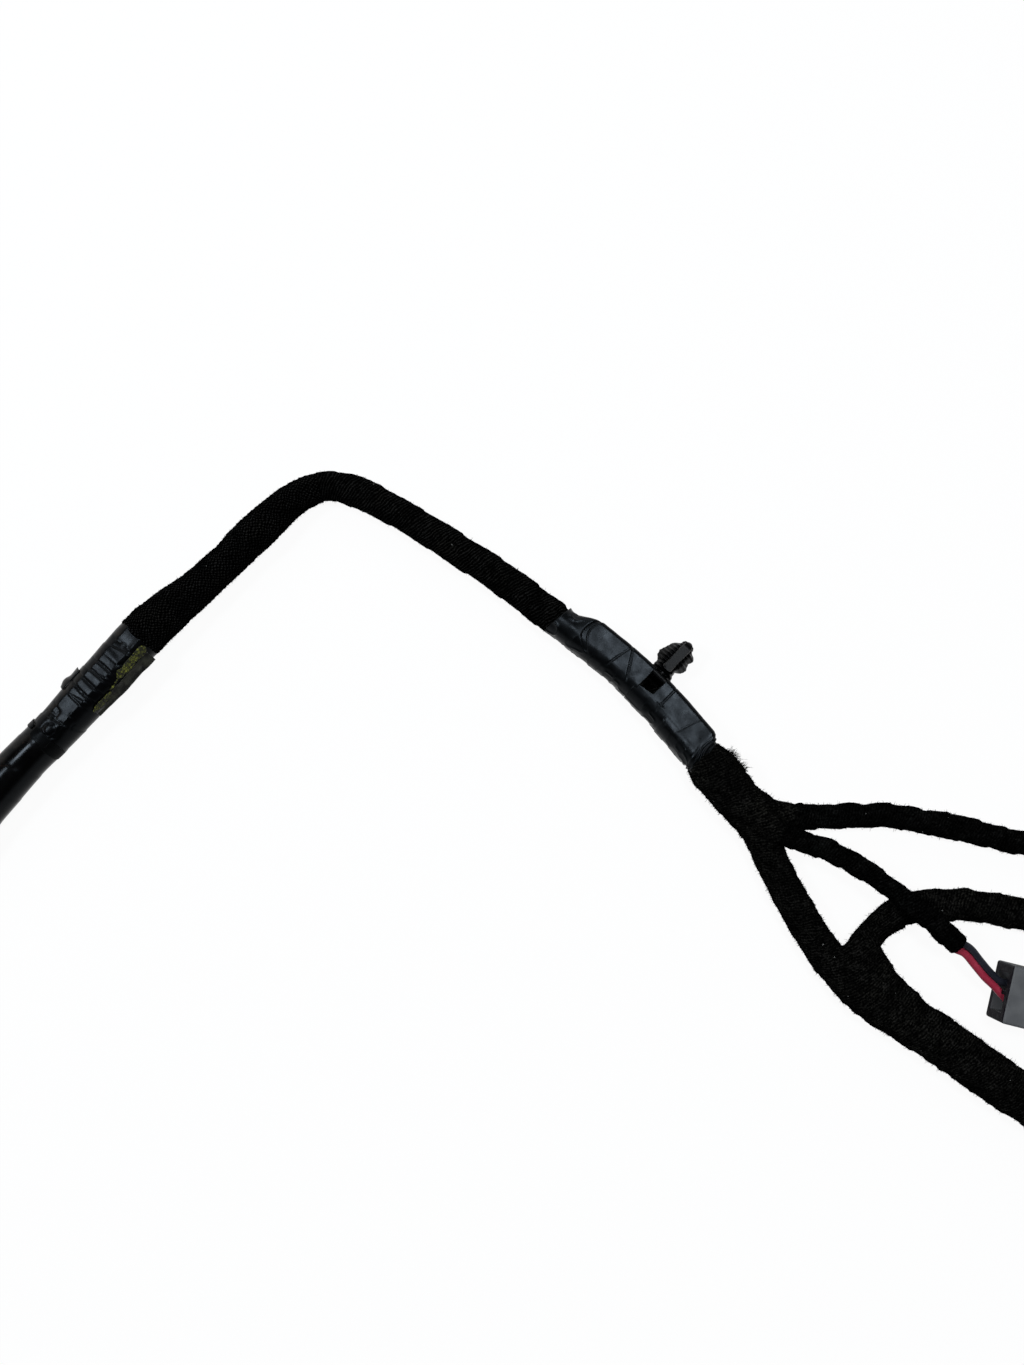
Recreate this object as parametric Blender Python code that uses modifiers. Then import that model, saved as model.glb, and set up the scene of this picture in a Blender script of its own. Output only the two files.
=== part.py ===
"""A length of vehicle wiring harness that lies on a flat surface.

A taped trunk runs from a connector at the left to one at the right. It bends once, carries a
push-in clip under tape, and gives off an upper branch, a two-wire lead and a lower branch.
Lengths are written in millimetres and turned into metres when a mesh or curve is made.
"""

import math

import bmesh
import bpy
from mathutils import Matrix, Vector

MM = 0.001
COLLECTION = "wiring_harness"

# Clearance between pieces that touch on the real harness, and the layout point put at the origin
GAP = 0.3
LAYOUT_CENTRE = (8.5, -42.825)

# Tape and sleeve walls
WRAP_WALL = 0.7
FLEECE_WALL = 0.9
CLIP_TAPE_WALL = 0.5

# Wound tape: how far one turn stands over the next, and the advance of one turn
WINDING_STEP = 0.28
SMOOTH_STEP = 0.1
WRINKLED_STEP = 0.2
SLEEVE_STEP = 0.12
CLOTH_PITCH = 11.7
FLEECE_PITCH = 9.5
PVC_PITCH = 8.0

# Places along the trunk, measured from the left connector's seal
TAPE_JOINT = 76.5
SLEEVE_START = 111.0
BEND_SEAM = 171.0
JUNCTION_MOUTH_UPPER = 316.5
CLIP_BEFORE_JUNCTION = 44.5
CLIP_AT = JUNCTION_MOUTH_UPPER - CLIP_BEFORE_JUNCTION
JUNCTION_MOUTH_LOWER = 354.0

# Tape over the clip's wings, before and after the stud, and the bare window between
CLIP_TAPE_BEFORE = 28.8
CLIP_TAPE_AFTER = 23.4
CLIP_WINDOW = 4.9
CLIP_TAPE_SHOULDER = 2.6

# Push-in clip, moulded in one
CLIP_BAR_LENGTH = 39.0
CLIP_BAR_HEIGHT = 8.0
CLIP_BAR_THICKNESS = 1.6
CLIP_BAR_OFFSET = 4.6
CLIP_TAPE_CORNER = 0.1
STUD_NECK_RADIUS = 1.8
STUD_COLLAR_RADIUS = 3.5
STUD_COLLAR_THICKNESS = 0.7
STUD_LENGTH = 11.0
STUD_RIB_RADIUS = 3.3
STUD_RIB_COUNT = 3
STUD_RIB_PITCH = 0.95
STUD_RIB_SLOPE = 0.25
STUD_RIB_EDGE = 0.05
STUD_FIN_RADIUS = 4.3
STUD_FIN_SLOPE = 0.9
STUD_FIN_TAPER = 0.4
STUD_WAIST_RADIUS = 2.1
STUD_TIP_RADIUS = 1.2
STUD_WEB_WIDTH = 2.6
STUD_WEB_HEIGHT = 8.4
STUD_WEB_FOOT = 1.5
STUD_WEB_SETBACK = 0.6
STUD_WEB_ROUND = 0.3
STUD_SIDES = 16

# Junction wraps: outer radii of the wrap round each thing that it holds
JUNCTION_START_RADIUS = 6.4
JUNCTION_TRUNK_RADIUS = 4.6
JUNCTION_UPPER_RADIUS = 3.3
JUNCTION_LEAD_RADIUS = 2.9
JUNCTION_LOWER_RADIUS = 4.4

# Headings that the junctions' open ends face, and how far the middle wrap stays from each
UPPER_MOUTH_HEADING = (0.80, -0.60)
LOWER_MOUTH_HEADING = (0.25, -0.97)
MIDDLE_WRAP_INSET_START = 4.5
MIDDLE_WRAP_INSET_END = 1.9
LOWER_MERGE_LENGTH = 36.0

# Branches and wires
BRANCH_UPPER_DIAMETER = 6.3
BRANCH_LOWER_DIAMETER = 8.3
LEAD_SHEATH_DIAMETER = 5.4
LEAD_SHEATH_WALL = 0.35
LEAD_WIRE_DIAMETER = 1.9
LEAD_WIRE_SPREAD = 2.2

# Marker strip, flag and tag on the left overwrap
MARKER_LENGTH = 20.0
MARKER_WIDTH = 2.2
MARKER_THICKNESS = 0.25
FLAG_LENGTH = 19.0
FLAG_WIDTH = 4.6
FLAG_THICKNESS = 0.35
TAG_LENGTH = 5.6
TAG_WIDTH = 2.0
FILM_AT = 100.0
FLAG_SHIFT = 1.0
TAG_BEFORE = 11.0

# Angles of the films in degrees, from the trunk's left side upwards, and how they lean from there
MARKER_ANGLE = 124.0
MARKER_LEAN = -90.0
FLAG_ANGLE = 139.0
FLAG_LEAN = 73.0
TAG_ANGLE = 28.0
TAG_LEAN = -20.0

# Connectors
CAVITY_PITCH = 4.2
CAVITY_SIZE = 2.6
HOUSING_HEIGHT = 12.0
HOUSING_LENGTH = 22.0
HOUSING_MARGIN = 1.8
SEAL_RECESS = 4.0
SEAL_THICKNESS = 3.0
CONTACT_LENGTH = 12.0
CONTACT_SETBACK = 1.5
COVER_LENGTH = 12.0
NECK_LENGTH = 5.0
COVER_WALL = 0.7
COVER_CORNER = 2.0
COVER_SIDES = 16
LATCH_LENGTH = 15.0
LATCH_WIDTH = 7.0
LATCH_THICKNESS = 1.2
LATCH_LIFT = 1.4
LATCH_ROOT = 2.4
LATCH_ROOT_INSET = 0.2
KEY_RIB = 1.0
KEY_RIB_LENGTH = 12.1
KEY_RIB_LEVEL = -2.4
FRONT_SETBACK = 1.0
EDGE_ROUND = 0.6

# Rear cover: share of its length and, there, share of the way from the housing's outline to the neck
COVER_PROFILE = ((0.0, 0.0), (0.2, 0.0), (0.6, 0.55), (1.0, 1.0))

# How far a joined piece goes into its neighbour, and a cutter past a face
JOIN_DEPTH = 1.0

# Two-way lead connector
LEAD_HOUSING_LENGTH = 24.0
LEAD_HOUSING_WIDTH = 14.6
LEAD_HOUSING_HEIGHT = 13.0
LEAD_CAVITY_PITCH = 5.4
LEAD_CAVITY_WIDTH = 4.6
LEAD_CAVITY_HEIGHT = 8.0
LEAD_CAVITY_DEPTH = 9.0
LEAD_SEAL_THICKNESS = 2.6
LEAD_SOCKET_SIZE = 3.2
LEAD_SOCKET_DEPTH = 12.0
LEAD_CONTACT_LENGTH = 9.0
LEAD_RIB_LENGTH = 16.8
LEAD_RIB_WIDTH = 3.0
LEAD_RIB_HEIGHT = 1.2
LEAD_REAR_CENTRE = (122.8, -78.3)
LEAD_HEADING = (0.97, -0.24)

# Facets: sides round a wrap, spacing of its rings, the most that the bundle turns between points,
# and the spacing of a branch's and a wire's points in diameters
WRAP_SIDES = 12
RING_SPACING = 3.9
SHEATH_SPACING = 4.5
CORE_SPACING = 12.0
CORE_TURN = 10.0
CORE_STEP = 1.0
BRANCH_POINT_SPACING = 0.9
WIRE_POINT_SPACING = 2.0

# Trunk route from the left seal to the right one: x, y, height of the axis, outer radius of the wrap
TRUNK_ROWS = [
    (-160.3, -77.8, 6.0, 5.9), (-156.7, -70.2, 6.0, 5.9), (-153.0, -62.5, 6.0, 5.9),
    (-148.6, -53.2, 6.1, 5.9), (-143.0, -44.0, 6.2, 6.0), (-137.0, -35.5, 6.2, 6.0),
    (-130.4, -27.3, 6.2, 6.0), (-123.4, -19.5, 6.0, 5.6), (-116.2, -12.3, 6.0, 5.6),
    (-109.4, -4.7, 6.1, 5.8), (-102.6, 2.8, 6.1, 5.9), (-95.9, 10.4, 6.1, 5.9),
    (-88.6, 17.6, 5.9, 5.6), (-80.8, 24.3, 5.2, 4.9), (-73.5, 31.3, 5.0, 4.7),
    (-66.1, 38.6, 5.2, 4.9), (-59.0, 45.2, 4.7, 4.4), (-54.9, 48.4, 4.4, 4.1),
    (-50.3, 50.4, 4.2, 3.9), (-45.1, 50.6, 4.2, 3.9), (-40.2, 49.2, 4.3, 4.0),
    (-31.1, 44.7, 4.3, 3.9), (-22.0, 39.3, 4.4, 4.0), (-13.4, 33.7, 4.4, 4.1),
    (-4.6, 28.0, 4.5, 4.2), (3.6, 22.0, 4.9, 4.3), (11.6, 15.7, 5.3, 4.3),
    (19.0, 9.9, 5.3, 4.3), (26.4, 3.9, 5.3, 4.3), (33.9, -3.0, 5.3, 4.3),
    (39.6, -9.2, 5.4, 4.3), (44.6, -15.2, 5.7, 4.3), (48.8, -20.2, 6.5, 4.3),
    (53.0, -24.9, 6.5, 4.4), (57.4, -30.2, 6.5, 4.4), (60.9, -35.0, 5.8, 4.4),
    (63.3, -39.4, 5.1, 4.4), (65.3, -43.8, 4.8, 4.3), (67.6, -48.9, 4.7, 4.3),
    (69.9, -53.3, 4.7, 4.3), (72.2, -57.7, 4.7, 4.4), (74.8, -62.0, 4.8, 4.4),
    (77.6, -66.7, 4.8, 4.4), (81.2, -71.8, 4.8, 4.4), (85.0, -76.4, 5.0, 4.6),
    (89.7, -80.4, 5.3, 4.9), (95.0, -83.6, 5.7, 5.3), (100.0, -86.3, 6.1, 5.7),
    (104.6, -88.8, 6.4, 6.0), (109.3, -91.8, 6.4, 6.1), (116.0, -96.4, 6.4, 6.0),
    (122.4, -100.9, 6.4, 6.0), (128.3, -104.8, 6.4, 6.0), (135.0, -109.0, 6.3, 6.0),
    (142.0, -112.9, 6.2, 6.0), (149.5, -116.4, 6.1, 5.9), (157.3, -119.4, 6.0, 5.9),
    (165.2, -122.4, 6.0, 5.9), (173.1, -125.4, 6.0, 5.9),
]

# Free branches: x, y, height of the axis
BRANCH_UPPER_ROWS = [
    (67.0, -33.9, 4.8), (70.8, -34.5, 4.6), (75.9, -34.7, 4.3), (81.0, -34.6, 4.0),
    (86.3, -34.5, 3.8), (91.5, -34.4, 3.6), (96.7, -34.5, 3.5), (101.9, -35.1, 3.4),
    (106.8, -36.2, 3.4), (111.9, -37.1, 3.4), (116.7, -38.2, 3.4), (121.8, -39.5, 3.4),
    (126.6, -40.6, 3.4), (131.5, -41.5, 3.5), (138.0, -42.0, 3.8), (145.0, -41.6, 4.4),
    (152.0, -39.9, 5.2), (159.0, -37.3, 5.8), (165.5, -34.5, 6.0), (173.3, -31.1, 6.0),
    (181.1, -27.7, 6.0),
]
BRANCH_LOWER_ROWS = [
    (88.2, -65.2, 5.0), (88.5, -63.6, 4.9), (89.5, -61.8, 4.8), (91.3, -60.2, 4.7),
    (94.0, -58.9, 4.6), (97.8, -57.8, 4.5), (102.5, -57.1, 4.4), (108.8, -56.9, 4.4),
    (113.4, -57.0, 4.4), (117.2, -57.3, 4.4), (121.0, -57.8, 4.4), (124.8, -58.4, 4.4),
    (130.1, -59.4, 4.6), (137.0, -61.1, 5.1), (144.0, -63.2, 5.7), (151.0, -65.7, 6.0),
    (159.0, -68.6, 6.0), (167.0, -71.5, 6.0),
]
LEAD_ROWS = [
    (63.4, -35.6, 11.0), (66.6, -37.8, 10.8), (70.3, -39.6, 10.2), (75.6, -41.6, 9.4),
    (79.2, -42.8, 9.1), (82.3, -44.3, 9.0), (85.6, -46.0, 9.2), (88.7, -47.9, 9.7),
    (91.6, -50.0, 10.6), (94.5, -52.3, 11.4), (97.9, -55.0, 11.8), (101.6, -57.9, 11.8),
    (105.2, -60.7, 11.4), (108.5, -63.7, 10.5), (111.5, -66.6, 9.7),
]
RED_TAIL_ROWS = [
    (112.9, -69.6, 9.2), (115.8, -72.5, 8.4), (118.3, -75.2, 7.7), (120.3, -77.8, 7.1),
    (122.4, -80.0, 6.7), (125.0, -81.3, 6.5), (127.9, -82.2, 6.5),
]
BLACK_TAIL_ROWS = [
    (114.6, -68.0, 9.2), (117.5, -70.9, 8.4), (120.2, -73.4, 7.6), (122.5, -75.1, 7.0),
    (125.4, -76.1, 6.6), (129.2, -77.1, 6.5),
]

# Colours, roughness and metallic value of each material
MATERIALS = {
    "smooth_pvc": ((0.012, 0.011, 0.010), 0.28, 0.0),
    "wrinkled_pvc": ((0.016, 0.016, 0.018), 0.34, 0.0),
    "clip_pvc": ((0.020, 0.022, 0.026), 0.38, 0.0),
    "yellow_film": ((0.42, 0.45, 0.05), 0.55, 0.0),
    "woven_textile": ((0.010, 0.010, 0.010), 0.90, 0.0),
    "cloth_tape": ((0.012, 0.011, 0.011), 0.94, 0.0),
    "fleece_tape": ((0.015, 0.014, 0.012), 0.97, 0.0),
    "black_nylon": ((0.022, 0.023, 0.025), 0.48, 0.0),
    "wire_bundle": ((0.030, 0.030, 0.034), 0.55, 0.0),
    "red_insulation": ((0.62, 0.045, 0.075), 0.42, 0.0),
    "blue_black_insulation": ((0.022, 0.026, 0.042), 0.42, 0.0),
    "grey_plastic": ((0.115, 0.118, 0.122), 0.52, 0.0),
    "black_plastic": ((0.024, 0.024, 0.025), 0.50, 0.0),
    "seal_rubber": ((0.190, 0.075, 0.045), 0.72, 0.0),
    "tinned_contact": ((0.62, 0.60, 0.55), 0.30, 1.0),
}


def clear_scene():
    """Removes every object that the file holds."""
    for item in list(bpy.data.objects):
        bpy.data.objects.remove(item, do_unlink=True)


def make_collection(name):
    """Makes a collection in the scene."""
    group = bpy.data.collections.new(name)
    bpy.context.scene.collection.children.link(group)
    return group


def make_material(name):
    """Makes a Principled material from the table of finishes."""
    colour, roughness, metallic = MATERIALS[name]
    material = bpy.data.materials.new(name)
    material.use_nodes = True
    shader = material.node_tree.nodes["Principled BSDF"]
    shader.inputs["Base Color"].default_value = (*colour, 1.0)
    shader.inputs["Roughness"].default_value = roughness
    shader.inputs["Metallic"].default_value = metallic
    material.diffuse_color = (*colour, 1.0)
    return material


clear_scene()
PARTS = make_collection(COLLECTION)
CUTTERS = make_collection(COLLECTION + "_cutters")
FINISHES = {name: make_material(name) for name in MATERIALS}


def placed(x, y, z):
    """Turns a layout point in millimetres into a point of the part's frame in metres."""
    return Vector(((x - LAYOUT_CENTRE[0]) * MM, (y - LAYOUT_CENTRE[1]) * MM, z * MM))


class Route:
    """A smooth curve through rows chosen by hand. Every column is carried along its length."""

    def __init__(self, rows):
        self.rows = rows
        self.knots = [0.0]
        for first, second in zip(rows, rows[1:]):
            self.knots.append(self.knots[-1] + math.dist(first[:3], second[:3]))
        self.length = self.knots[-1]
        last = len(rows) - 1
        self.slopes = []
        for index in range(len(rows)):
            before, after = max(index - 1, 0), min(index + 1, last)
            span = self.knots[after] - self.knots[before]
            pairs = zip(rows[before], rows[after])
            self.slopes.append([(b - a) / span for a, b in pairs])

    def at(self, distance):
        """Gives every column at a distance along the route."""
        distance = min(max(distance, 0.0), self.length)
        index = 0
        while index < len(self.knots) - 2 and self.knots[index + 1] < distance:
            index += 1
        span = self.knots[index + 1] - self.knots[index]
        t = (distance - self.knots[index]) / span
        weights = (2 * t**3 - 3 * t**2 + 1, (t**3 - 2 * t**2 + t) * span,
                   3 * t**2 - 2 * t**3, (t**3 - t**2) * span)
        columns = zip(self.rows[index], self.slopes[index],
                      self.rows[index + 1], self.slopes[index + 1])
        return [sum(w * v for w, v in zip(weights, column)) for column in columns]

    def centre(self, distance):
        """Gives the axis point at a distance, in layout millimetres."""
        return Vector(self.at(distance)[:3])

    def heading(self, distance):
        """Gives the level direction of travel at a distance."""
        reach = 0.5
        ahead = self.centre(min(distance + reach, self.length))
        behind = self.centre(max(distance - reach, 0.0))
        step = ahead - behind
        return Vector((step.x, step.y, 0.0)).normalized()

    def side(self, distance):
        """Gives the level direction to the left of travel."""
        heading = self.heading(distance)
        return Vector((-heading.y, heading.x, 0.0))

    def stations(self, start, end, spacing):
        """Gives evenly spaced distances from start to end."""
        count = max(2, math.ceil((end - start) / spacing) + 1)
        return [start + (end - start) * i / (count - 1) for i in range(count)]

    def bend_stations(self, start, end, spacing, turn):
        """Gives distances no further apart than the spacing, and closer where the route turns."""
        distances = [start]
        for distance in self.stations(start, end, CORE_STEP)[1:]:
            swing = self.heading(distance).angle(self.heading(distances[-1]))
            if distance - distances[-1] >= spacing or swing >= math.radians(turn):
                distances.append(distance)
        if end - distances[-1] < CORE_STEP:
            distances.pop()
        return distances + [end]


TRUNK = Route(TRUNK_ROWS)
HOUSING_REAR = SEAL_THICKNESS + GAP - SEAL_RECESS
TRUNK_START = COVER_LENGTH + NECK_LENGTH + 2 * GAP - HOUSING_REAR
TRUNK_END = TRUNK.length - TRUNK_START
CLOTH_END = CLIP_AT + CLIP_TAPE_AFTER


def add_mesh(name, mesh, finish, collection=PARTS):
    """Adds a mesh object with a finish."""
    item = bpy.data.objects.new(name, mesh)
    collection.objects.link(item)
    if finish:
        mesh.materials.clear()
        mesh.materials.append(FINISHES[finish])
    return item


def smooth_shade(item, angle=40.0):
    """Shades round surfaces smooth and keeps edges sharper than the angle."""
    item.data.shade_smooth()
    item.data.set_sharp_from_angle(angle=math.radians(angle))


def loft(name, rings, finish, closed=False, collection=PARTS):
    """Skins rings of equal count into one surface, with flat ends if closed."""
    shape = bmesh.new()
    rows = [[shape.verts.new(point) for point in ring] for ring in rings]
    count = len(rows[0])
    for near, far in zip(rows, rows[1:]):
        for j in range(count):
            k = (j + 1) % count
            shape.faces.new((near[j], near[k], far[k], far[j]))
    if closed:
        shape.faces.new(list(reversed(rows[0])))
        shape.faces.new(rows[-1])
    mesh = bpy.data.meshes.new(name)
    shape.to_mesh(mesh)
    shape.free()
    item = add_mesh(name, mesh, finish, collection)
    smooth_shade(item)
    return item


def skin(name, rings, wall, finish):
    """Makes a shell of one wall thickness whose outer face runs through the rings."""
    item = loft(name, rings, finish)
    solidify = item.modifiers.new("wall", "SOLIDIFY")
    solidify.thickness = wall * MM
    solidify.offset = -1.0
    solidify.use_even_offset = True
    return item


def hull_section(circles, grow, count=WRAP_SIDES):
    """Outline of tape pulled tight round circles, each given as side, height and radius."""
    outline = []
    for j in range(count):
        angle = 2 * math.pi * j / count
        across, up = math.cos(angle), math.sin(angle)
        side, height, radius = max(circles, key=lambda c: c[0] * across + c[1] * up + c[2])
        outline.append((side + (radius + grow) * across, height + (radius + grow) * up))
    return outline


def left_of(heading):
    """Level direction to the left of a heading."""
    return Vector((-heading[1], heading[0], 0.0)).normalized()


def ring_on(route, distance, outline, side=None):
    """Stands an outline of side and height pairs on the route, square to it unless a side is given."""
    centre = route.centre(distance)
    side = side or route.side(distance)
    points = [centre + side * across + Vector((0, 0, up)) for across, up in outline]
    return [placed(*point) for point in points]


def wound_outline(radius, distance, pitch, step=WINDING_STEP):
    """Outline of spirally wound tape: each turn rises until the next one covers it."""
    outline = []
    for j in range(WRAP_SIDES):
        turn = j / WRAP_SIDES
        rise = step * ((distance / pitch - turn) % 1.0) - step / 2
        angle = 2 * math.pi * turn
        outline.append(((radius + rise) * math.cos(angle), (radius + rise) * math.sin(angle)))
    return outline


def wound_wrap(name, start, end, pitch, finish, step=WINDING_STEP, wall=WRAP_WALL):
    """Makes one length of tape wound round the trunk."""
    rings = []
    for distance in TRUNK.stations(start, end, RING_SPACING):
        radius = TRUNK.at(distance)[3]
        rings.append(ring_on(TRUNK, distance, wound_outline(radius, distance, pitch, step)))
    return skin(name, rings, wall, finish)


def tube(name, points, diameter, finish, resolution, radii=None):
    """Makes a round tube along points in metres, with closed ends."""
    curve = bpy.data.curves.new(name, "CURVE")
    curve.dimensions = "3D"
    curve.bevel_depth = diameter / 2 * MM
    curve.bevel_resolution = resolution
    curve.use_fill_caps = True
    spline = curve.splines.new("POLY")
    spline.points.add(len(points) - 1)
    for index, point in enumerate(points):
        spline.points[index].co = (*point, 1.0)
        spline.points[index].radius = radii[index] if radii else 1.0
    curve.materials.append(FINISHES[finish])
    item = bpy.data.objects.new(name, curve)
    PARTS.objects.link(item)
    return item


def box(name, size, centre, finish=None, collection=CUTTERS, rounding=0.0):
    """Makes a box from its size and centre in local millimetres."""
    shape = bmesh.new()
    bmesh.ops.create_cube(shape, size=1.0)
    bmesh.ops.scale(shape, vec=[value * MM for value in size], verts=shape.verts)
    bmesh.ops.translate(shape, vec=[value * MM for value in centre], verts=shape.verts)
    mesh = bpy.data.meshes.new(name)
    shape.to_mesh(mesh)
    shape.free()
    item = add_mesh(name, mesh, finish, collection)
    if rounding:
        bevel = item.modifiers.new("edges", "BEVEL")
        bevel.width = rounding * MM
        bevel.segments = 2
    return item


def hide_tool(item):
    """Marks a cutter or a piece that was joined to another as a guide."""
    item.hide_render = True
    item.display_type = "WIRE"


def combine(item, tools, operation):
    """Joins or cuts a piece with tools and keeps the result in its mesh."""
    for tool in tools:
        step = item.modifiers.new(tool.name, "BOOLEAN")
        step.object = tool
        step.operation = operation
        step.solver = "EXACT"
        hide_tool(tool)


def boxes(name, size, centres):
    """Makes several equal boxes as one cutter."""
    shape = bmesh.new()
    for centre in centres:
        made = bmesh.ops.create_cube(shape, size=1.0)["verts"]
        bmesh.ops.scale(shape, vec=[value * MM for value in size], verts=made)
        bmesh.ops.translate(shape, vec=[value * MM for value in centre], verts=made)
    mesh = bpy.data.meshes.new(name)
    shape.to_mesh(mesh)
    shape.free()
    return mesh


def row_of_boxes(name, size, centres, finish):
    """Makes equal pieces, one object each, numbered from one."""
    return [box(f"{name}_{number}", size, centre, finish, PARTS)
            for number, centre in enumerate(centres, start=1)]


def stand(items, origin, heading, height):
    """Places pieces built along local X at a layout point, facing a heading."""
    turn = Matrix.Rotation(math.atan2(heading[1], heading[0]), 4, "Z")
    matrix = Matrix.Translation(placed(origin[0], origin[1], height)) @ turn
    for item in items:
        item.matrix_world = matrix


# Trunk


def bore_at(distance):
    """Inner radius of whatever surrounds the wires at a distance along the trunk."""
    outer = TRUNK.at(distance)[3]
    if distance < TRUNK_START or distance > TRUNK_END:
        return outer - COVER_WALL
    return outer - WRAP_WALL - WINDING_STEP / 2


def trunk_bundle():
    """The wires that the trunk holds, as one rounded bundle from seal to seal."""
    distances = TRUNK.bend_stations(GAP, TRUNK.length - GAP, CORE_SPACING, CORE_TURN)
    points = [placed(*TRUNK.centre(distance)) for distance in distances]
    window = [share * CORE_SPACING for share in (-1.0, -0.5, 0.0, 0.5, 1.0)]
    radii = [min(bore_at(d + w) for w in window) - GAP for d in distances]
    largest = max(radii)
    scaled = [radius / largest for radius in radii]
    return tube("trunk_bundle", points, 2 * largest, "wire_bundle", 3, scaled)


def left_wraps():
    """The smooth wrap at the left and the wrinkled wrap over the next stretch."""
    wound_wrap("left_tape_wrap", TRUNK_START, TAPE_JOINT - GAP, PVC_PITCH, "smooth_pvc", SMOOTH_STEP)
    wound_wrap("left_tape_overwrap", TAPE_JOINT, SLEEVE_START - GAP, PVC_PITCH, "wrinkled_pvc",
               WRINKLED_STEP)


def film(name, start, end, section, finish):
    """Makes a thin strip of film along the trunk from a section of side and height pairs."""
    rings = []
    for distance in TRUNK.stations(start, end, RING_SPACING):
        radius = TRUNK.at(distance)[3]
        rings.append(ring_on(TRUNK, distance, section(radius)))
    return loft(name, rings, finish, closed=True)


def plate_section(foot, run, width, thickness):
    """Rectangle from a foot point along a direction, as side and height pairs."""
    across = (-run[1], run[0])
    corners = ((0, 0), (width, 0), (width, thickness), (0, thickness))
    return [(foot[0] + run[0] * a + across[0] * b, foot[1] + run[1] * a + across[1] * b)
            for a, b in corners]


def on_wrap(radius, angle):
    """Point on the overwrap's surface, one gap out, at an angle from the left side."""
    reach = radius + WINDING_STEP / 2 + GAP
    return reach * math.cos(math.radians(angle)), reach * math.sin(math.radians(angle))


def direction(angle):
    """Unit side and height pair at an angle in degrees."""
    return math.cos(math.radians(angle)), math.sin(math.radians(angle))


def left_films():
    """The marker strip, the loose flag below it and the loose tag above."""
    def marker(radius):
        foot = on_wrap(radius, MARKER_ANGLE)
        run = direction(MARKER_ANGLE + MARKER_LEAN)
        return plate_section(foot, run, MARKER_WIDTH, MARKER_THICKNESS)

    def flag(radius):
        foot = on_wrap(radius, FLAG_ANGLE)
        run = direction(FLAG_ANGLE + FLAG_LEAN)
        outline = plate_section(foot, run, FLAG_WIDTH, -FLAG_THICKNESS)
        return list(reversed(outline))

    def tag(radius):
        foot = on_wrap(radius, TAG_ANGLE)
        run = direction(TAG_ANGLE + TAG_LEAN)
        return plate_section(foot, run, TAG_WIDTH, FLAG_THICKNESS)

    marker_start = FILM_AT - MARKER_LENGTH / 2
    flag_start = FILM_AT - FLAG_LENGTH / 2 + FLAG_SHIFT
    tag_start = FILM_AT - TAG_BEFORE
    film("yellow_marker_tape", marker_start, marker_start + MARKER_LENGTH, marker, "yellow_film")
    film("marker_tape_flag", flag_start, flag_start + FLAG_LENGTH, flag, "smooth_pvc")
    film("loose_tape_tag", tag_start, tag_start + TAG_LENGTH, tag, "smooth_pvc")


def clip_circles(distance):
    """Circles that the clip's tape goes round: the cloth tape and, along it, the clip's bar."""
    circles = [(0.0, 0.0, TRUNK.at(distance)[3] + WINDING_STEP / 2)]
    if abs(distance - CLIP_AT) < CLIP_BAR_LENGTH / 2 + 3 * GAP:
        corner = CLIP_TAPE_CORNER
        outer = CLIP_BAR_OFFSET + CLIP_BAR_THICKNESS - corner
        reach = CLIP_BAR_HEIGHT / 2 - corner
        circles += [(outer, reach, corner), (outer, -reach, corner)]
    return circles


def clip_tape(name, start, end):
    """Makes the tape over one wing of the clip."""
    distances = TRUNK.stations(start, end, RING_SPACING)
    for way in (-1, 1):
        edge = CLIP_AT + way * CLIP_BAR_LENGTH / 2
        if start < edge < end:
            distances += [edge + way * 2 * GAP, edge + way * CLIP_TAPE_SHOULDER]
    rings = []
    for distance in sorted(distances):
        outline = hull_section(clip_circles(distance), GAP + CLIP_TAPE_WALL)
        rings.append(ring_on(TRUNK, distance, outline))
    return skin(name, rings, CLIP_TAPE_WALL, "clip_pvc")


def clip_bar():
    """The clip's base bar, which follows the trunk along its upper right side."""
    half = CLIP_BAR_LENGTH / 2
    low, high = -CLIP_BAR_HEIGHT / 2, CLIP_BAR_HEIGHT / 2
    inner, outer = CLIP_BAR_OFFSET, CLIP_BAR_OFFSET + CLIP_BAR_THICKNESS
    outline = [(inner, low), (outer, low), (outer, high), (inner, high)]
    rings = [ring_on(TRUNK, distance, outline)
             for distance in TRUNK.stations(CLIP_AT - half, CLIP_AT + half, RING_SPACING)]
    return loft("fir_tree_clip", rings, "black_nylon", closed=True)


def fin_profile(start, end, radius):
    """Half outline of one pair of fins: a sloped lead, a slight taper and a slope to the waist."""
    return [(radius - STUD_FIN_SLOPE, start), (radius, start + STUD_FIN_SLOPE),
            (radius - STUD_FIN_TAPER, end - STUD_FIN_SLOPE), (STUD_WAIST_RADIUS, end)]


def stud_profile():
    """Half outline of the turned part of the stud, as radius and distance from the bar."""
    level = CLIP_TAPE_WALL + 2 * GAP
    profile = [(0.0, -CLIP_BAR_THICKNESS / 2), (STUD_NECK_RADIUS, -CLIP_BAR_THICKNESS / 2)]
    profile += [(STUD_NECK_RADIUS, level), (STUD_COLLAR_RADIUS, level)]
    level += STUD_COLLAR_THICKNESS
    profile += [(STUD_COLLAR_RADIUS, level), (STUD_NECK_RADIUS, level)]
    for _ in range(STUD_RIB_COUNT):
        level += STUD_RIB_PITCH
        edge = level - STUD_RIB_EDGE
        profile += [(STUD_NECK_RADIUS, level - STUD_RIB_PITCH / 2),
                    (STUD_RIB_RADIUS, edge - STUD_RIB_SLOPE), (STUD_RIB_RADIUS, edge),
                    (STUD_NECK_RADIUS, level)]
    notch = (level + STUD_LENGTH) / 2
    profile += fin_profile(level + GAP, notch, STUD_FIN_RADIUS)
    profile += fin_profile(notch + GAP, STUD_LENGTH - GAP, STUD_FIN_RADIUS - STUD_FIN_TAPER)
    return profile + [(STUD_TIP_RADIUS, STUD_LENGTH), (0.0, STUD_LENGTH)]


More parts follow.
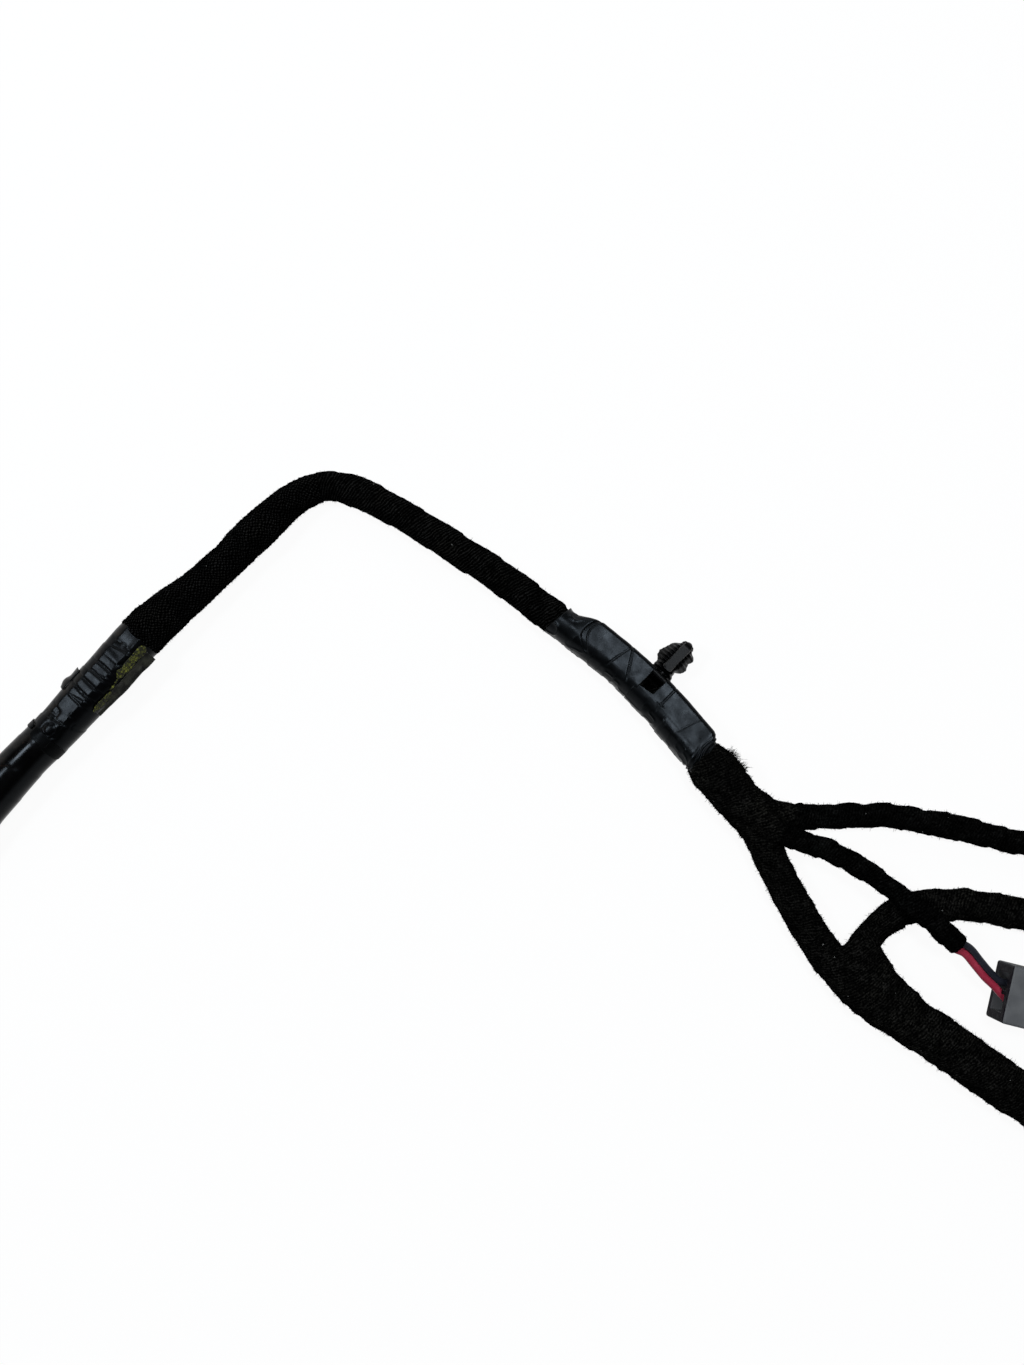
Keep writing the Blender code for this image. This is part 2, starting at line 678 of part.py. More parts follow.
def turned(name, profile, steps, finish):
    """Turns a half outline round local Z with a Screw modifier."""
    mesh = bpy.data.meshes.new(name)
    points = [(radius * MM, 0.0, level * MM) for radius, level in reversed(profile)]
    mesh.from_pydata(points, [(i, i + 1) for i in range(len(points) - 1)], [])
    item = add_mesh(name, mesh, finish, CUTTERS)
    screw = item.modifiers.new("turn", "SCREW")
    screw.steps = steps
    screw.render_steps = steps
    screw.use_merge_vertices = True
    screw.merge_threshold = 0.00001
    return item


def clip_stud_matrix():
    """Matrix whose local Z runs along the stud, out from the bar's outer face."""
    centre = TRUNK.centre(CLIP_AT)
    side = TRUNK.side(CLIP_AT)
    foot = centre + side * (CLIP_BAR_OFFSET + CLIP_BAR_THICKNESS)
    along = TRUNK.heading(CLIP_AT)
    up = Vector((0, 0, 1))
    matrix = Matrix((along, -up, side)).transposed().to_4x4()
    return Matrix.Translation(placed(*foot)) @ matrix


def fir_tree_clip():
    """The push-in clip: base bar, neck, collar, ribs, fins and web in one moulding."""
    bar = clip_bar()
    matrix = clip_stud_matrix()
    stud = turned("clip_stud", stud_profile(), STUD_SIDES, None)
    stud.matrix_world = matrix
    web_length = STUD_LENGTH - STUD_WEB_SETBACK - STUD_WEB_FOOT
    web = box("clip_web", (STUD_WEB_WIDTH, STUD_WEB_HEIGHT, web_length),
              (0, 0, STUD_WEB_FOOT + web_length / 2), rounding=STUD_WEB_ROUND)
    web.matrix_world = matrix
    combine(bar, [stud, web], "UNION")
    return bar


def junction_wrap_upper():
    """Fleece wrap that holds the trunk, the upper branch and the lead where they part."""
    start = CLOTH_END + GAP
    end = JUNCTION_MOUTH_UPPER
    mouth, mouth_side = TRUNK.centre(end), left_of(UPPER_MOUTH_HEADING)
    upper = Vector(BRANCH_UPPER_ROWS[0]) - mouth
    lead = Vector(LEAD_ROWS[0]) - mouth
    rings = []
    for distance in TRUNK.stations(start, end, RING_SPACING):
        ease = ((distance - start) / (end - start))**2
        trunk_radius = JUNCTION_START_RADIUS + (JUNCTION_TRUNK_RADIUS - JUNCTION_START_RADIUS) * ease
        circles = [(0.0, 0.0, trunk_radius)]
        for branch_start, radius in ((upper, JUNCTION_UPPER_RADIUS), (lead, JUNCTION_LEAD_RADIUS)):
            circles.append((branch_start.dot(mouth_side) * ease, branch_start.z * ease, radius))
        side = (TRUNK.side(distance) * (1 - ease) + mouth_side * ease).normalized()
        rings.append(ring_on(TRUNK, distance, hull_section(circles, 0.0), side))
    return skin("junction_wrap_upper", rings, FLEECE_WALL, "fleece_tape")


def junction_wrap_lower():
    """Fleece wrap that takes in the lower branch, then narrows to the trunk's right end."""
    start = JUNCTION_MOUTH_LOWER
    mouth_side = left_of(LOWER_MOUTH_HEADING)
    spread = (Vector(BRANCH_LOWER_ROWS[0]) - TRUNK.centre(start)).dot(mouth_side)
    rings = []
    for distance in TRUNK.stations(start, TRUNK_END, RING_SPACING):
        ease = max(0.0, 1.0 - (distance - start) / LOWER_MERGE_LENGTH)
        radius = TRUNK.at(distance)[3]
        circles = [(0.0, 0.0, radius), (spread * ease, 0.0, JUNCTION_LOWER_RADIUS)]
        side = (TRUNK.side(distance) * (1 - ease**2) + mouth_side * ease**2).normalized()
        outline = []
        winding = wound_outline(radius, distance, FLEECE_PITCH)
        for plain, wound in zip(hull_section(circles, 0.0), winding):
            growth = 1 + (math.hypot(*wound) - radius) / math.hypot(*plain)
            outline.append((plain[0] * growth, plain[1] * growth))
        rings.append(ring_on(TRUNK, distance, outline, side))
    return skin("junction_wrap_lower", rings, WRAP_WALL, "fleece_tape")


def trunk():
    """Every piece of the trunk between its two connectors."""
    trunk_bundle()
    left_wraps()
    left_films()
    wound_wrap("woven_sleeve", SLEEVE_START, BEND_SEAM - GAP, CLOTH_PITCH, "woven_textile",
               SLEEVE_STEP)
    wound_wrap("cloth_tape_wrap", BEND_SEAM, CLOTH_END, CLOTH_PITCH, "cloth_tape")
    clip_tape("clip_tape_left", CLIP_AT - CLIP_TAPE_BEFORE, CLIP_AT - CLIP_WINDOW / 2)
    clip_tape("clip_tape_right", CLIP_AT + CLIP_WINDOW / 2, CLIP_AT + CLIP_TAPE_AFTER)
    fir_tree_clip()
    junction_wrap_upper()
    wound_wrap("fleece_wrap_middle", JUNCTION_MOUTH_UPPER + MIDDLE_WRAP_INSET_START,
               JUNCTION_MOUTH_LOWER - MIDDLE_WRAP_INSET_END, FLEECE_PITCH, "fleece_tape")
    junction_wrap_lower()


# Branches


def route_points(route, start, end, spacing):
    """Reads points of the part's frame from a route."""
    return [placed(*route.centre(distance)) for distance in route.stations(start, end, spacing)]


def branch(name, rows, diameter, finish):
    """Makes a taped branch as one round tube from its junction to its connector's seal."""
    route = Route(rows)
    points = route_points(route, 0.0, route.length - GAP, BRANCH_POINT_SPACING * diameter)
    tube(name, points, diameter, finish, 3)
    return route


def lead_wire(name, finish, offset, tail):
    """Makes one lead wire: inside the sheath beside its twin, then free to the connector."""
    sheath = Route(LEAD_ROWS)
    rows = []
    for distance in sheath.knots:
        rows.append(tuple(sheath.centre(distance) + sheath.side(distance) * offset))
    route = Route(rows + tail)
    points = route_points(route, 0.0, route.length, WIRE_POINT_SPACING * LEAD_WIRE_DIAMETER)
    tube(name, points, LEAD_WIRE_DIAMETER, finish, 2)


def lead_sheath():
    """Makes the hollow fleece sheath that the two lead wires run in."""
    route = Route(LEAD_ROWS)
    rings = []
    radius = LEAD_SHEATH_DIAMETER / 2
    outline = hull_section([(0.0, 0.0, radius)], 0.0)
    for distance in route.stations(0.0, route.length, SHEATH_SPACING):
        rings.append(ring_on(route, distance, outline))
    return skin("branch_lead_sheath", rings, LEAD_SHEATH_WALL, "fleece_tape")


# Connectors


def cavity_centres(columns):
    """Side and height of each cavity in two rows."""
    sides = [(i - (columns - 1) / 2) * CAVITY_PITCH for i in range(columns)]
    return [(side, level * CAVITY_PITCH / 2) for side in sides for level in (-1, 1)]


def housing_width(columns):
    """Width of a housing with a number of cavity columns."""
    return (columns - 1) * CAVITY_PITCH + CAVITY_SIZE + 2 * HOUSING_MARGIN


def connector_housing(prefix, columns):
    """Block with through cavities, a rear recess for the seal, key ribs and a latch arm."""
    width = housing_width(columns)
    rear = HOUSING_REAR
    middle = rear + HOUSING_LENGTH / 2
    body = box(prefix + "_housing", (HOUSING_LENGTH, width, HOUSING_HEIGHT), (middle, 0, 0),
               "black_plastic", PARTS, EDGE_ROUND)
    front = rear + HOUSING_LENGTH
    setback = front - FRONT_SETBACK
    ribs = [box(f"{prefix}_rib_{sign}", (KEY_RIB_LENGTH, 2 * KEY_RIB, 2 * KEY_RIB),
                (setback - KEY_RIB_LENGTH / 2, sign * width / 2, KEY_RIB_LEVEL))
            for sign in (-1, 1)]
    arm_level = HOUSING_HEIGHT / 2 + LATCH_LIFT + LATCH_THICKNESS / 2
    arm = box(prefix + "_latch", (LATCH_LENGTH, LATCH_WIDTH, LATCH_THICKNESS),
              (setback - LATCH_LENGTH / 2, 0, arm_level))
    root_height = LATCH_LIFT + LATCH_THICKNESS / 2 + JOIN_DEPTH
    root = box(prefix + "_latch_root",
               (LATCH_ROOT, LATCH_WIDTH - 2 * LATCH_ROOT_INSET, root_height),
               (front - LATCH_ROOT, 0, HOUSING_HEIGHT / 2 - JOIN_DEPTH + root_height / 2))
    combine(body, ribs + [root, arm], "UNION")
    rim = COVER_WALL + GAP
    recess_size = (SEAL_RECESS + JOIN_DEPTH, width - 2 * rim, HOUSING_HEIGHT - 2 * rim)
    recess = box(prefix + "_recess", recess_size, (rear + SEAL_RECESS - recess_size[0] / 2, 0, 0))
    spots = cavity_centres(columns)
    hole_size = (HOUSING_LENGTH + 2 * JOIN_DEPTH, CAVITY_SIZE, CAVITY_SIZE)
    holes = boxes(prefix + "_cavities", hole_size, [(middle, side, level) for side, level in spots])
    cavities = add_mesh(prefix + "_cavities", holes, None, CUTTERS)
    combine(body, [recess, cavities], "DIFFERENCE")
    seal_size = (SEAL_THICKNESS, recess_size[1] - 2 * GAP, recess_size[2] - 2 * GAP)
    seal = box(prefix + "_seal", seal_size, (SEAL_THICKNESS / 2, 0, 0), "seal_rubber", PARTS)
    contact_middle = front - CONTACT_SETBACK - CONTACT_LENGTH / 2
    contact_size = CAVITY_SIZE - 2 * GAP
    contacts = row_of_boxes(prefix + "_contact", (CONTACT_LENGTH, contact_size, contact_size),
                            [(contact_middle, side, level) for side, level in spots],
                            "tinned_contact")
    return [body, seal, *contacts, *ribs, arm, root, recess, cavities]


def connector_cover(prefix, columns, neck_radius):
    """Rear cover that runs from the housing's outline down to a round neck."""
    width = housing_width(columns)
    rear = HOUSING_REAR - GAP
    reach_side = width / 2 - COVER_CORNER
    reach_up = HOUSING_HEIGHT / 2 - COVER_CORNER
    profile = [(COVER_LENGTH * along, share) for along, share in COVER_PROFILE]
    profile.append((COVER_LENGTH + NECK_LENGTH, 1.0))
    rings = []
    for distance, share in profile:
        keep = 1.0 - share
        radius = COVER_CORNER + (neck_radius - COVER_CORNER) * share
        circles = [(a * reach_side * keep, b * reach_up * keep, radius)
                   for a in (-1, 1) for b in (-1, 1)]
        outline = hull_section(circles, 0.0, COVER_SIDES)
        rings.append([Vector(((rear - distance) * MM, -a * MM, b * MM)) for a, b in outline])
    return skin(prefix + "_cover", rings, COVER_WALL, "black_plastic")


def connector(prefix, route, at_end, columns, neck_radius):
    """Places a whole connector where a route ends at its seal."""
    distance = route.length if at_end else 0.0
    heading = route.heading(distance) * (1 if at_end else -1)
    centre = route.centre(distance)
    items = connector_housing(prefix, columns) + [connector_cover(prefix, columns, neck_radius)]
    stand(items, centre, heading, centre.z)


def lead_connector():
    """The grey two-way connector on the lead, open at the rear where the wires go in."""
    length, width, height = LEAD_HOUSING_LENGTH, LEAD_HOUSING_WIDTH, LEAD_HOUSING_HEIGHT
    body = box("lead_connector_housing", (length, width, height), (length / 2, 0, 0),
               "grey_plastic", PARTS, EDGE_ROUND)
    sides = (-LEAD_CAVITY_PITCH / 2, LEAD_CAVITY_PITCH / 2)
    depth = LEAD_CAVITY_DEPTH
    rear_size = (depth + JOIN_DEPTH, LEAD_CAVITY_WIDTH, LEAD_CAVITY_HEIGHT)
    rear_mesh = boxes("lead_rear_cavities", rear_size,
                      [((depth - JOIN_DEPTH) / 2, side, 0) for side in sides])
    rear = add_mesh("lead_rear_cavities", rear_mesh, None, CUTTERS)
    socket = LEAD_SOCKET_DEPTH
    front_size = (socket + JOIN_DEPTH, LEAD_SOCKET_SIZE, LEAD_SOCKET_SIZE)
    front_mesh = boxes("lead_front_sockets", front_size,
                       [(length - (socket - JOIN_DEPTH) / 2, side, 0) for side in sides])
    front = add_mesh("lead_front_sockets", front_mesh, None, CUTTERS)
    rib = box("lead_rib", (LEAD_RIB_LENGTH, LEAD_RIB_WIDTH, 2 * LEAD_RIB_HEIGHT),
              (length - LEAD_RIB_LENGTH / 2, 0, height / 2))
    combine(body, [rib], "UNION")
    combine(body, [rear, front], "DIFFERENCE")
    seal_size = (LEAD_SEAL_THICKNESS, LEAD_CAVITY_WIDTH - 2 * GAP, LEAD_CAVITY_HEIGHT - 2 * GAP)
    seals = row_of_boxes("lead_seal", seal_size,
                         [(depth - GAP - LEAD_SEAL_THICKNESS / 2, side, 0) for side in sides],
                         "seal_rubber")
    contact = LEAD_SOCKET_SIZE - 2 * GAP
    contacts = row_of_boxes("lead_contact", (LEAD_CONTACT_LENGTH, contact, contact),
                            [(length - socket + GAP + LEAD_CONTACT_LENGTH / 2, side, 0)
                             for side in sides], "tinned_contact")
    items = [body, rear, front, rib, *seals, *contacts]
    stand(items, LEAD_REAR_CENTRE, LEAD_HEADING, height / 2)


trunk()
upper_route = branch("branch_upper", BRANCH_UPPER_ROWS, BRANCH_UPPER_DIAMETER, "fleece_tape")
lower_route = branch("branch_lower", BRANCH_LOWER_ROWS, BRANCH_LOWER_DIAMETER, "fleece_tape")
lead_sheath()
lead_wire("lead_wire_red", "red_insulation", -LEAD_WIRE_SPREAD / 2, RED_TAIL_ROWS)
lead_wire("lead_wire_black", "blue_black_insulation", LEAD_WIRE_SPREAD / 2, BLACK_TAIL_ROWS)
connector("left_connector", TRUNK, False, 4, TRUNK.at(0.0)[3])
connector("right_connector", TRUNK, True, 3, TRUNK.at(TRUNK.length)[3])
connector("upper_connector", upper_route, True, 2, BRANCH_UPPER_DIAMETER / 2 + GAP + COVER_WALL)
connector("lower_connector", lower_route, True, 2, BRANCH_LOWER_DIAMETER / 2 + GAP + COVER_WALL)
lead_connector()
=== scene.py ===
import math

import bpy
import numpy as np
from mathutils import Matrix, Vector


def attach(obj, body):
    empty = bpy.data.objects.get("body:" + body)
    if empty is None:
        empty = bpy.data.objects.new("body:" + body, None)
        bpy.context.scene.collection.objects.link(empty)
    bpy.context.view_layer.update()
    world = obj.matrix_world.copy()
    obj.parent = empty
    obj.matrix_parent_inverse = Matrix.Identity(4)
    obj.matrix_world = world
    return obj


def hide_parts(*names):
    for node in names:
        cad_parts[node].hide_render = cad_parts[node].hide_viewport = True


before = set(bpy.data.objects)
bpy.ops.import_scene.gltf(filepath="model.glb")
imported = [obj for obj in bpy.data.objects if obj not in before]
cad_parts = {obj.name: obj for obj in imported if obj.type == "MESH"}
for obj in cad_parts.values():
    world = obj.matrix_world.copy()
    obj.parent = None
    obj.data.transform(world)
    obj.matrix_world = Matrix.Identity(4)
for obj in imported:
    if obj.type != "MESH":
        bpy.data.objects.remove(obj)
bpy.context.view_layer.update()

# Layout units are millimetres; a mesh is made in metres. The layout's centre is the part's origin,
# and no wrap comes nearer to the floor than the gap.
MM = 0.001
LAYOUT_CENTRE = np.array((8.5, -42.825, 0.0))
UP = np.array((0.0, 0.0, 1.0))
FLOOR_GAP = 0.05

# Camera: straight lens above the layout's own origin, tilted a little towards the viewer
CAMERA_DISTANCE = 0.38
CAMERA_ELEVATION = 86.0
CAMERA_LENS = 38.54

# Places along the trunk, measured from the left connector's seal
TAPE_START = 18.3
TAPE_JOINT = 76.5
SLEEVE_START = 111.0
BEND_SEAM = 171.0
CLIP_AT = 272.0
CLIP_TAPE_START = CLIP_AT - 28.8
CLIP_TAPE_END = CLIP_AT + 23.4
CLIP_WINDOW = 4.9
JUNCTION_MOUTH_UPPER = 316.5
JUNCTION_MOUTH_LOWER = 354.0
TAPE_END = 445.54
SEAM_GAP = 0.3

# Clip: bar beside the trunk, its edges and those of the tape over it rounded; stud square to the
# bar, with small ridges on its fins
BAR_LENGTH = 39.0
BAR_HEIGHT = 8.0
BAR_THICKNESS = 1.6
BAR_OFFSET = 4.6
BAR_CORNER = 0.6
TAPE_CORNER = 1.0
STUD_LENGTH = 11.0
STUD_RIDGE_PITCH = 1.05

# Winding: how far each tape moves on in one turn, and for fleece how far its edge stands up and how
# much of a turn the edge takes to come down again
CLOTH_PITCH = 11.7
FLEECE_PITCH = 9.5
PVC_PITCH = 8.0
FLEECE_STEP = 0.26
FLEECE_LAP = 0.12
BRANCH_PITCH = 7.5
LEAD_PITCH = 6.5

# Wrinkled overwrap: where its upper side is pulled flat, as angles up from the left side, and how
# far apart the grooves across it are
FLAT_MIDDLE = math.radians(83)
FLAT_HALF = math.radians(23)
FLAT_RADIUS = 5.9
GROOVE_PITCH = 2.7

# Height of the loose flag over the trunk's axis, as a share of a round wrap's
FLAG_SAG = 0.88

# Trunk route from the left seal to the right one: x, y, height of the axis, outer radius of the wrap
TRUNK_ROWS = [
    (-160.3, -77.8, 6.0, 5.9), (-156.7, -70.2, 6.0, 5.9), (-153.0, -62.5, 6.0, 5.9),
    (-148.6, -53.2, 6.1, 5.9), (-143.0, -44.0, 6.2, 6.0), (-137.0, -35.5, 6.2, 6.0),
    (-130.4, -27.3, 6.2, 6.0), (-123.4, -19.5, 6.0, 5.6), (-116.2, -12.3, 6.0, 5.6),
    (-109.4, -4.7, 6.1, 5.8), (-102.6, 2.8, 6.1, 5.9), (-95.9, 10.4, 6.1, 5.9),
    (-88.6, 17.6, 5.9, 5.6), (-80.8, 24.3, 5.2, 4.9), (-73.5, 31.3, 5.0, 4.7),
    (-66.1, 38.6, 5.2, 4.9), (-59.0, 45.2, 4.7, 4.4), (-54.9, 48.4, 4.4, 4.1),
    (-50.3, 50.4, 4.2, 3.9), (-45.1, 50.6, 4.2, 3.9), (-40.2, 49.2, 4.3, 4.0),
    (-31.1, 44.7, 4.3, 3.9), (-22.0, 39.3, 4.4, 4.0), (-13.4, 33.7, 4.4, 4.1),
    (-4.6, 28.0, 4.5, 4.2), (3.6, 22.0, 4.9, 4.3), (11.6, 15.7, 5.3, 4.3),
    (19.0, 9.9, 5.3, 4.3), (26.4, 3.9, 5.3, 4.3), (33.9, -3.0, 5.3, 4.3),
    (39.6, -9.2, 5.4, 4.3), (44.6, -15.2, 5.7, 4.3), (48.8, -20.2, 6.5, 4.3),
    (53.0, -24.9, 6.5, 4.4), (57.4, -30.2, 6.5, 4.4), (60.9, -35.0, 5.8, 4.4),
    (63.3, -39.4, 5.1, 4.4), (65.3, -43.8, 4.8, 4.3), (67.6, -48.9, 4.7, 4.3),
    (69.9, -53.3, 4.7, 4.3), (72.2, -57.7, 4.7, 4.4), (74.8, -62.0, 4.8, 4.4),
    (77.6, -66.7, 4.8, 4.4), (81.2, -71.8, 4.8, 4.4), (85.0, -76.4, 5.0, 4.6),
    (89.7, -80.4, 5.3, 4.9), (95.0, -83.6, 5.7, 5.3), (100.0, -86.3, 6.1, 5.7),
    (104.6, -88.8, 6.4, 6.0), (109.3, -91.8, 6.4, 6.1), (116.0, -96.4, 6.4, 6.0),
    (122.4, -100.9, 6.4, 6.0), (128.3, -104.8, 6.4, 6.0), (135.0, -109.0, 6.3, 6.0),
    (142.0, -112.9, 6.2, 6.0), (149.5, -116.4, 6.1, 5.9), (157.3, -119.4, 6.0, 5.9),
    (165.2, -122.4, 6.0, 5.9), (173.1, -125.4, 6.0, 5.9),
]

# Free branches: x, y, height of the axis
BRANCH_UPPER_ROWS = [
    (67.0, -33.9, 4.8), (70.8, -34.5, 4.6), (75.9, -34.7, 4.3), (81.0, -34.6, 4.0),
    (86.3, -34.5, 3.8), (91.5, -34.4, 3.6), (96.7, -34.5, 3.5), (101.9, -35.1, 3.4),
    (106.8, -36.2, 3.4), (111.9, -37.1, 3.4), (116.7, -38.2, 3.4), (121.8, -39.5, 3.4),
    (126.6, -40.6, 3.4), (131.5, -41.5, 3.5), (138.0, -42.0, 3.8), (145.0, -41.6, 4.4),
    (152.0, -39.9, 5.2), (159.0, -37.3, 5.8), (165.5, -34.5, 6.0), (173.3, -31.1, 6.0),
    (181.1, -27.7, 6.0),
]
BRANCH_LOWER_ROWS = [
    (88.2, -65.2, 5.0), (88.5, -63.6, 4.9), (89.5, -61.8, 4.8), (91.3, -60.2, 4.7),
    (94.0, -58.9, 4.6), (97.8, -57.8, 4.5), (102.5, -57.1, 4.4), (108.8, -56.9, 4.4),
    (113.4, -57.0, 4.4), (117.2, -57.3, 4.4), (121.0, -57.8, 4.4), (124.8, -58.4, 4.4),
    (130.1, -59.4, 4.6), (137.0, -61.1, 5.1), (144.0, -63.2, 5.7), (151.0, -65.7, 6.0),
    (159.0, -68.6, 6.0), (167.0, -71.5, 6.0),
]
LEAD_ROWS = [
    (63.4, -35.6, 11.0), (66.6, -37.8, 10.8), (70.3, -39.6, 10.2), (75.6, -41.6, 9.4),
    (79.2, -42.8, 9.1), (82.3, -44.3, 9.0), (85.6, -46.0, 9.2), (88.7, -47.9, 9.7),
    (91.6, -50.0, 10.6), (94.5, -52.3, 11.4), (97.9, -55.0, 11.8), (101.6, -57.9, 11.8),
    (105.2, -60.7, 11.4), (108.5, -63.7, 10.5), (111.5, -66.6, 9.7),
]
RED_TAIL_ROWS = [
    (112.9, -69.6, 9.2), (115.8, -72.5, 8.4), (118.3, -75.2, 7.7), (120.3, -77.8, 7.1),
    (122.4, -80.0, 6.7), (125.0, -81.3, 6.5), (127.9, -82.2, 6.5),
]
BLACK_TAIL_ROWS = [
    (114.6, -68.0, 9.2), (117.5, -70.9, 8.4), (120.2, -73.4, 7.6), (122.5, -75.1, 7.0),
    (125.4, -76.1, 6.6), (129.2, -77.1, 6.5),
]
RED_TAIL_SEEN = [
    (113.4, -68.7, 9.2), (116.1, -71.7, 8.4), (118.8, -74.8, 7.7), (121.35, -77.15, 7.1),
    (123.3, -79.3, 6.8), (125.1, -81.0, 6.5), (127.9, -82.2, 6.5),
]
BLACK_TAIL_SEEN = [
    (114.85, -67.5, 9.2), (117.5, -70.6, 8.4), (120.1, -73.5, 7.6), (122.6, -75.75, 7.0),
    (125.4, -76.5, 6.6), (129.2, -77.1, 6.5),
]
BRANCH_UPPER_DIAMETER = 6.3
BRANCH_LOWER_DIAMETER = 8.3
LEAD_SHEATH_DIAMETER = 5.4
LEAD_WIRE_DIAMETER = 1.9
LEAD_WIRE_SPREAD = 2.2


def unit(vectors):
    """Vectors of length 1."""
    return vectors / np.linalg.norm(vectors, axis=-1, keepdims=True)


class Route:
    """A smooth curve through given rows. Every column is carried along its length."""

    def __init__(self, rows):
        self.rows = np.array(rows, float)
        steps = np.linalg.norm(np.diff(self.rows[:, :3], axis=0), axis=1)
        self.knots = np.concatenate([[0.0], np.cumsum(steps)])
        self.length = self.knots[-1]
        count = len(rows)
        before = np.maximum(np.arange(count) - 1, 0)
        after = np.minimum(np.arange(count) + 1, count - 1)
        spans = (self.knots[after] - self.knots[before])[:, None]
        self.slopes = (self.rows[after] - self.rows[before]) / spans

    def at(self, distances):
        """Every column at distances along the route."""
        distances = np.clip(np.atleast_1d(distances), 0.0, self.length)
        index = np.clip(np.searchsorted(self.knots, distances) - 1, 0, len(self.knots) - 2)
        span = (self.knots[index + 1] - self.knots[index])[:, None]
        t = (distances - self.knots[index])[:, None] / span
        return ((2 * t**3 - 3 * t**2 + 1) * self.rows[index]
                + (t**3 - 2 * t**2 + t) * span * self.slopes[index]
                + (3 * t**2 - 2 * t**3) * self.rows[index + 1]
                + (t**3 - t**2) * span * self.slopes[index + 1])

    def centre(self, distances):
        """Axis points at distances."""
        return self.at(distances)[:, :3]

    def travel(self, distances, level=True):
        """Unit directions of travel, level ones unless told otherwise."""
        reach = 0.5
        step = self.centre(np.minimum(distances + reach, self.length))
        step = step - self.centre(np.maximum(distances - reach, 0.0))
        if level:
            step[:, 2] = 0.0
        return unit(step)

    def side(self, distances):
        """Level directions to the left of travel."""
        heading = self.travel(distances)
        return np.stack([-heading[:, 1], heading[:, 0], np.zeros(len(heading))], axis=1)


TRUNK = Route(TRUNK_ROWS)
UPPER_LEG = Route([(60.0, -31.6, 5.6)] + BRANCH_UPPER_ROWS[:5])
LOWER_LEG = Route([(84.6, -74.0, 5.0), (87.4, -68.9, 5.0), (90.4, -64.9, 5.0), (93.5, -61.9, 4.8),
                   (97.4, -59.5, 4.6), (102.4, -57.8, 4.5)])
LOWER_SEEN = Route([(89.6, -66.0, 5.0), (90.4, -65.0, 4.9), (91.8, -63.4, 4.8), (93.5, -61.9, 4.7),
                    (95.7, -60.4, 4.6), (98.7, -58.9, 4.5), (102.7, -57.6, 4.4)]
                   + BRANCH_LOWER_ROWS[7:])
LEAD_LEG = Route([(57.2, -30.4, 8.6)] + LEAD_ROWS[:5])
UPPER = Route(BRANCH_UPPER_ROWS)
LOWER = Route(BRANCH_LOWER_ROWS)
LEAD = Route(LEAD_ROWS)


def placed(points):
    """Layout millimetres to metres of the part's frame."""
    return (np.asarray(points, float) - LAYOUT_CENTRE) * MM


# Noise


def hashed(cell, seed):
    """A number from -1 to 1 for each lattice cell."""
    word = (cell[..., 0] * 374761393 + cell[..., 1] * 668265263
            + cell[..., 2] * 2147483647 + seed * 974634777) & 0xFFFFFFFF
    word = ((word ^ (word >> 13)) * 1274126177) & 0xFFFFFFFF
    return ((word ^ (word >> 16)) & 0xFFFF) / 32767.5 - 1.0


def noise(points, size, seed=0):
    """Smooth noise from -1 to 1 whose lumps have a size in the points' own units."""
    scaled = np.asarray(points, float) / size
    cell = np.floor(scaled).astype(np.int64)
    part = scaled - cell
    part = part**3 * (part * (part * 6 - 15) + 10)
    total = 0.0
    for corner in np.ndindex(2, 2, 2):
        weight = np.prod(np.where(corner, part, 1 - part), axis=-1)
        total = total + weight * hashed(cell + np.array(corner), seed)
    return total


def rough(points, size, seed=0, octaves=3):
    """Noise with finer lumps added at half the size and half the height."""
    total, height = 0.0, 1.0
    for octave in range(octaves):
        total = total + height * noise(points, size / 2**octave, seed + octave)
        height /= 2
    return total


def smooth(values, low, high):
    """Rises smoothly from 0 at low to 1 at high."""
    t = np.clip((np.asarray(values, float) - low) / (high - low), 0.0, 1.0)
    return t * t * (3 - 2 * t)


# Meshes


def linked(name, data):
    """Adds an object with this data to the scene."""
    item = bpy.data.objects.new(name, data)
    bpy.context.scene.collection.objects.link(item)
    return item


def add_mesh(name, vertices, faces, material):
    """Adds a smooth mesh object from points in metres."""
    mesh = bpy.data.meshes.new(name)
    mesh.from_pydata(vertices.tolist(), [], faces)
    mesh.materials.append(material)
    mesh.shade_smooth()
    return linked(name, mesh)


def skin_faces(rings, sides, closed):
    """Quads between rings that each have the same number of points."""
    index = np.arange(rings * sides).reshape(rings, sides)
    near = index if closed else index[:-1]
    far = np.roll(index, -1, axis=0) if closed else index[1:]
    return np.stack([near, np.roll(near, -1, 1), np.roll(far, -1, 1), far], axis=-1).reshape(-1, 4)


def store(item, places):
    """Keeps for each point its distance along the wrap, the way round and its height."""
    layer = item.data.attributes.new("wrap", "FLOAT_VECTOR", "POINT")
    layer.data.foreach_set("vector", np.asarray(places, np.float32).ravel())


def shell(name, outer, inner, material, wraps):
    """A closed shell: an outer skin of rings, and an inner one on some of the same rings."""
    rings = np.concatenate([outer, inner[::-1]])
    faces = skin_faces(len(rings), rings.shape[1], True).tolist()
    item = add_mesh(name, placed(rings.reshape(-1, 3)), faces, material)
    store(item, np.concatenate([wraps, np.zeros((len(inner), rings.shape[1], 3))]))
    return item


def solid(name, rings, material):
    """A closed solid through rings, with a point in the middle of each end."""
    count, sides = rings.shape[:2]
    vertices = np.concatenate([rings.reshape(-1, 3), rings[0].mean(0)[None], rings[-1].mean(0)[None]])
    faces = skin_faces(count, sides, False).tolist()
    first, last, base = count * sides, count * sides + 1, (count - 1) * sides
    for j in range(sides):
        k = (j + 1) % sides
        faces.append((first, k, j))
        faces.append((last, base + j, base + k))
    return add_mesh(name, placed(vertices), faces, material)


